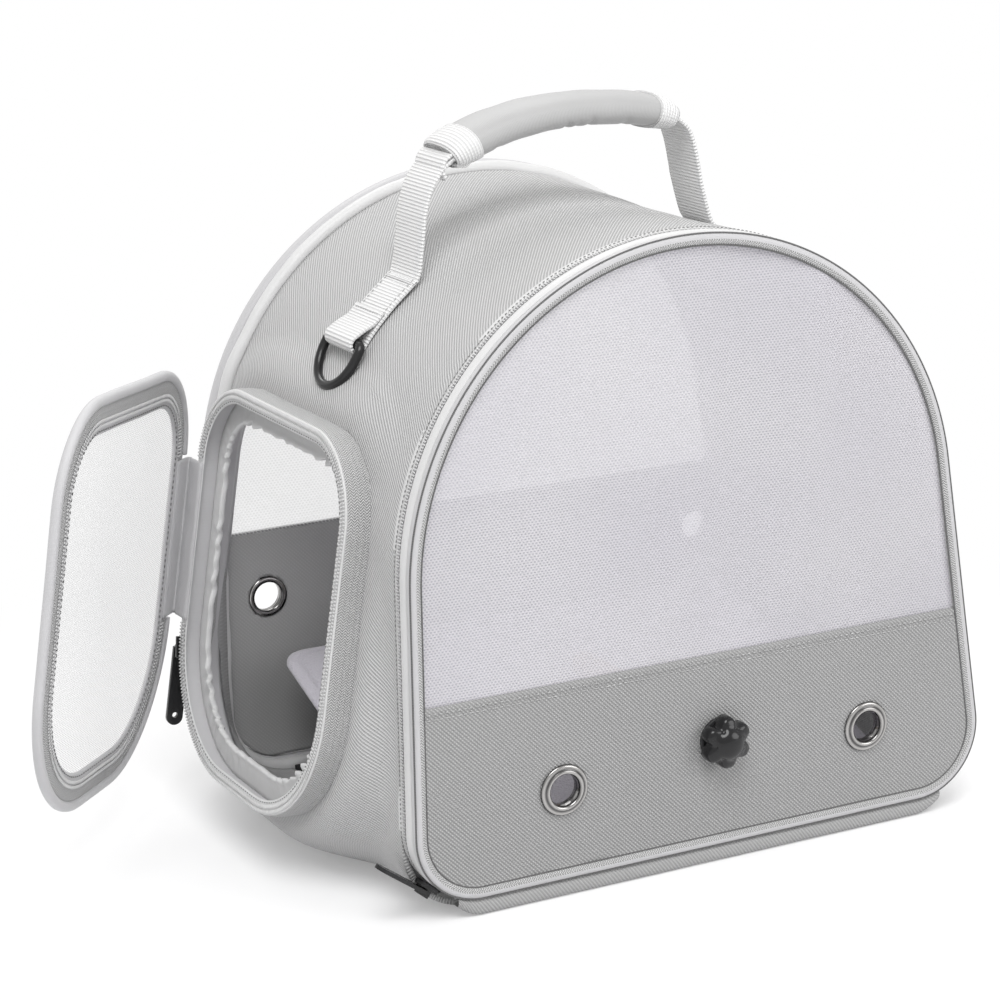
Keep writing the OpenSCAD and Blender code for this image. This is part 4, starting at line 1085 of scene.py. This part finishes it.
# ---- Stage, light and camera
def stage_plane():
    """Pale floor that keeps the shadow near the carrier and turns plain white further out."""
    g = Graph("floor_white")
    path = g.node("ShaderNodeLightPath")
    seen = g.math("MAXIMUM", path.outputs["Is Camera Ray"],
                  g.math("MAXIMUM", path.outputs["Is Glossy Ray"], path.outputs["Is Transmission Ray"]))
    split = g.node("ShaderNodeSeparateXYZ", {0: g.place})
    reach = g.math("SQRT", g.math("ADD", g.math("POWER", split.outputs[0], 2.0), g.math("POWER", split.outputs[1], 2.0)))
    far_out = g.node("ShaderNodeMapRange", {"Value": reach, "From Min": 0.17, "From Max": 0.5, "To Min": 0.25, "To Max": 1.0})
    far_out.interpolation_type = "SMOOTHSTEP"
    dull = g.node("ShaderNodeBsdfDiffuse", {"Color": (0.74, 0.74, 0.75, 1.0)}).outputs[0]
    bright = g.node("ShaderNodeBsdfDiffuse", {"Color": (0.97, 0.97, 0.975, 1.0)}).outputs[0]
    white = g.node("ShaderNodeEmission", {"Color": (1.0, 1.0, 1.0, 1.0), "Strength": 1.0}).outputs[0]
    shown = g.node("ShaderNodeMixShader", {0: far_out.outputs[0], 1: bright, 2: white}).outputs[0]
    material = g.done(g.node("ShaderNodeMixShader", {0: seen, 1: dull, 2: shown}).outputs[0])
    data = bpy.data.meshes.new("floor_plane")
    data.from_pydata([(-30, -30, 0), (30, -30, 0), (30, 30, 0), (-30, 30, 0)], [], [(0, 1, 2, 3)])
    data.uv_layers.new(name="uv")
    data.materials.append(material)
    floor = bpy.data.objects.new("floor_plane", data)
    bpy.context.scene.collection.objects.link(floor)


def lamp(name, place_at, target, size, power, colour=(1, 1, 1)):
    data = bpy.data.lights.new(name, "AREA")
    data.shape, data.size, data.energy, data.color = "DISK", size, power, colour
    made = bpy.data.objects.new(name, data)
    made.location = place_at
    made.rotation_euler = (Vector(target) - Vector(place_at)).to_track_quat("-Z", "Y").to_euler()
    bpy.context.scene.collection.objects.link(made)


stage_plane()
world = bpy.data.worlds.new("studio")
bpy.context.scene.world = world
world.use_nodes = True
tree = world.node_tree
tree.nodes.clear()
path = tree.nodes.new("ShaderNodeLightPath")
glow, white, blend_node = (tree.nodes.new(k) for k in ("ShaderNodeBackground", "ShaderNodeBackground", "ShaderNodeMixShader"))
glow.inputs[0].default_value, glow.inputs[1].default_value = (1.0, 0.995, 0.99, 1.0), 0.68
white.inputs[0].default_value, white.inputs[1].default_value = (1, 1, 1, 1), 1.0
either = tree.nodes.new("ShaderNodeMath")
either.operation = "MAXIMUM"
out = tree.nodes.new("ShaderNodeOutputWorld")
tree.links.new(path.outputs["Is Camera Ray"], either.inputs[0])
tree.links.new(path.outputs["Is Transmission Ray"], either.inputs[1])
tree.links.new(either.outputs[0], blend_node.inputs[0])
tree.links.new(glow.outputs[0], blend_node.inputs[1])
tree.links.new(white.outputs[0], blend_node.inputs[2])
tree.links.new(blend_node.outputs[0], out.inputs[0])
lamp("key", (-0.7, -1.2, 2.2), (0, 0, 0.15), 1.6, 36)
lamp("fill", (1.6, -1.9, 1.0), (0, 0, 0.15), 1.6, 16)
lamp("back", (0.3, 1.6, 1.8), (0, 0, 0.2), 1.4, 14)

bpy.context.scene.view_settings.view_transform = "Standard"
az, el, roll = math.radians(-28.0), math.radians(15.5), math.radians(-1.0)
back_axis = Vector((math.sin(az) * math.cos(el), -math.cos(az) * math.cos(el), math.sin(el)))
right_axis = Vector((math.cos(az), math.sin(az), 0.0))
up_axis = back_axis.cross(right_axis)
cam_right = right_axis * math.cos(roll) + up_axis * math.sin(roll)
cam_up = -right_axis * math.sin(roll) + up_axis * math.cos(roll)
camera_data = bpy.data.cameras.new("camera")
camera_data.lens, camera_data.sensor_width = 108.0, 36.0
camera = bpy.data.objects.new("camera", camera_data)
spot = (Vector((-115.6, -120.0, 205.9)) + back_axis * 1391.0) * MM
camera.matrix_world = Matrix.Translation(spot) @ Matrix((cam_right, cam_up, back_axis)).transposed().to_4x4()
bpy.context.scene.collection.objects.link(camera)
bpy.context.scene.camera = camera
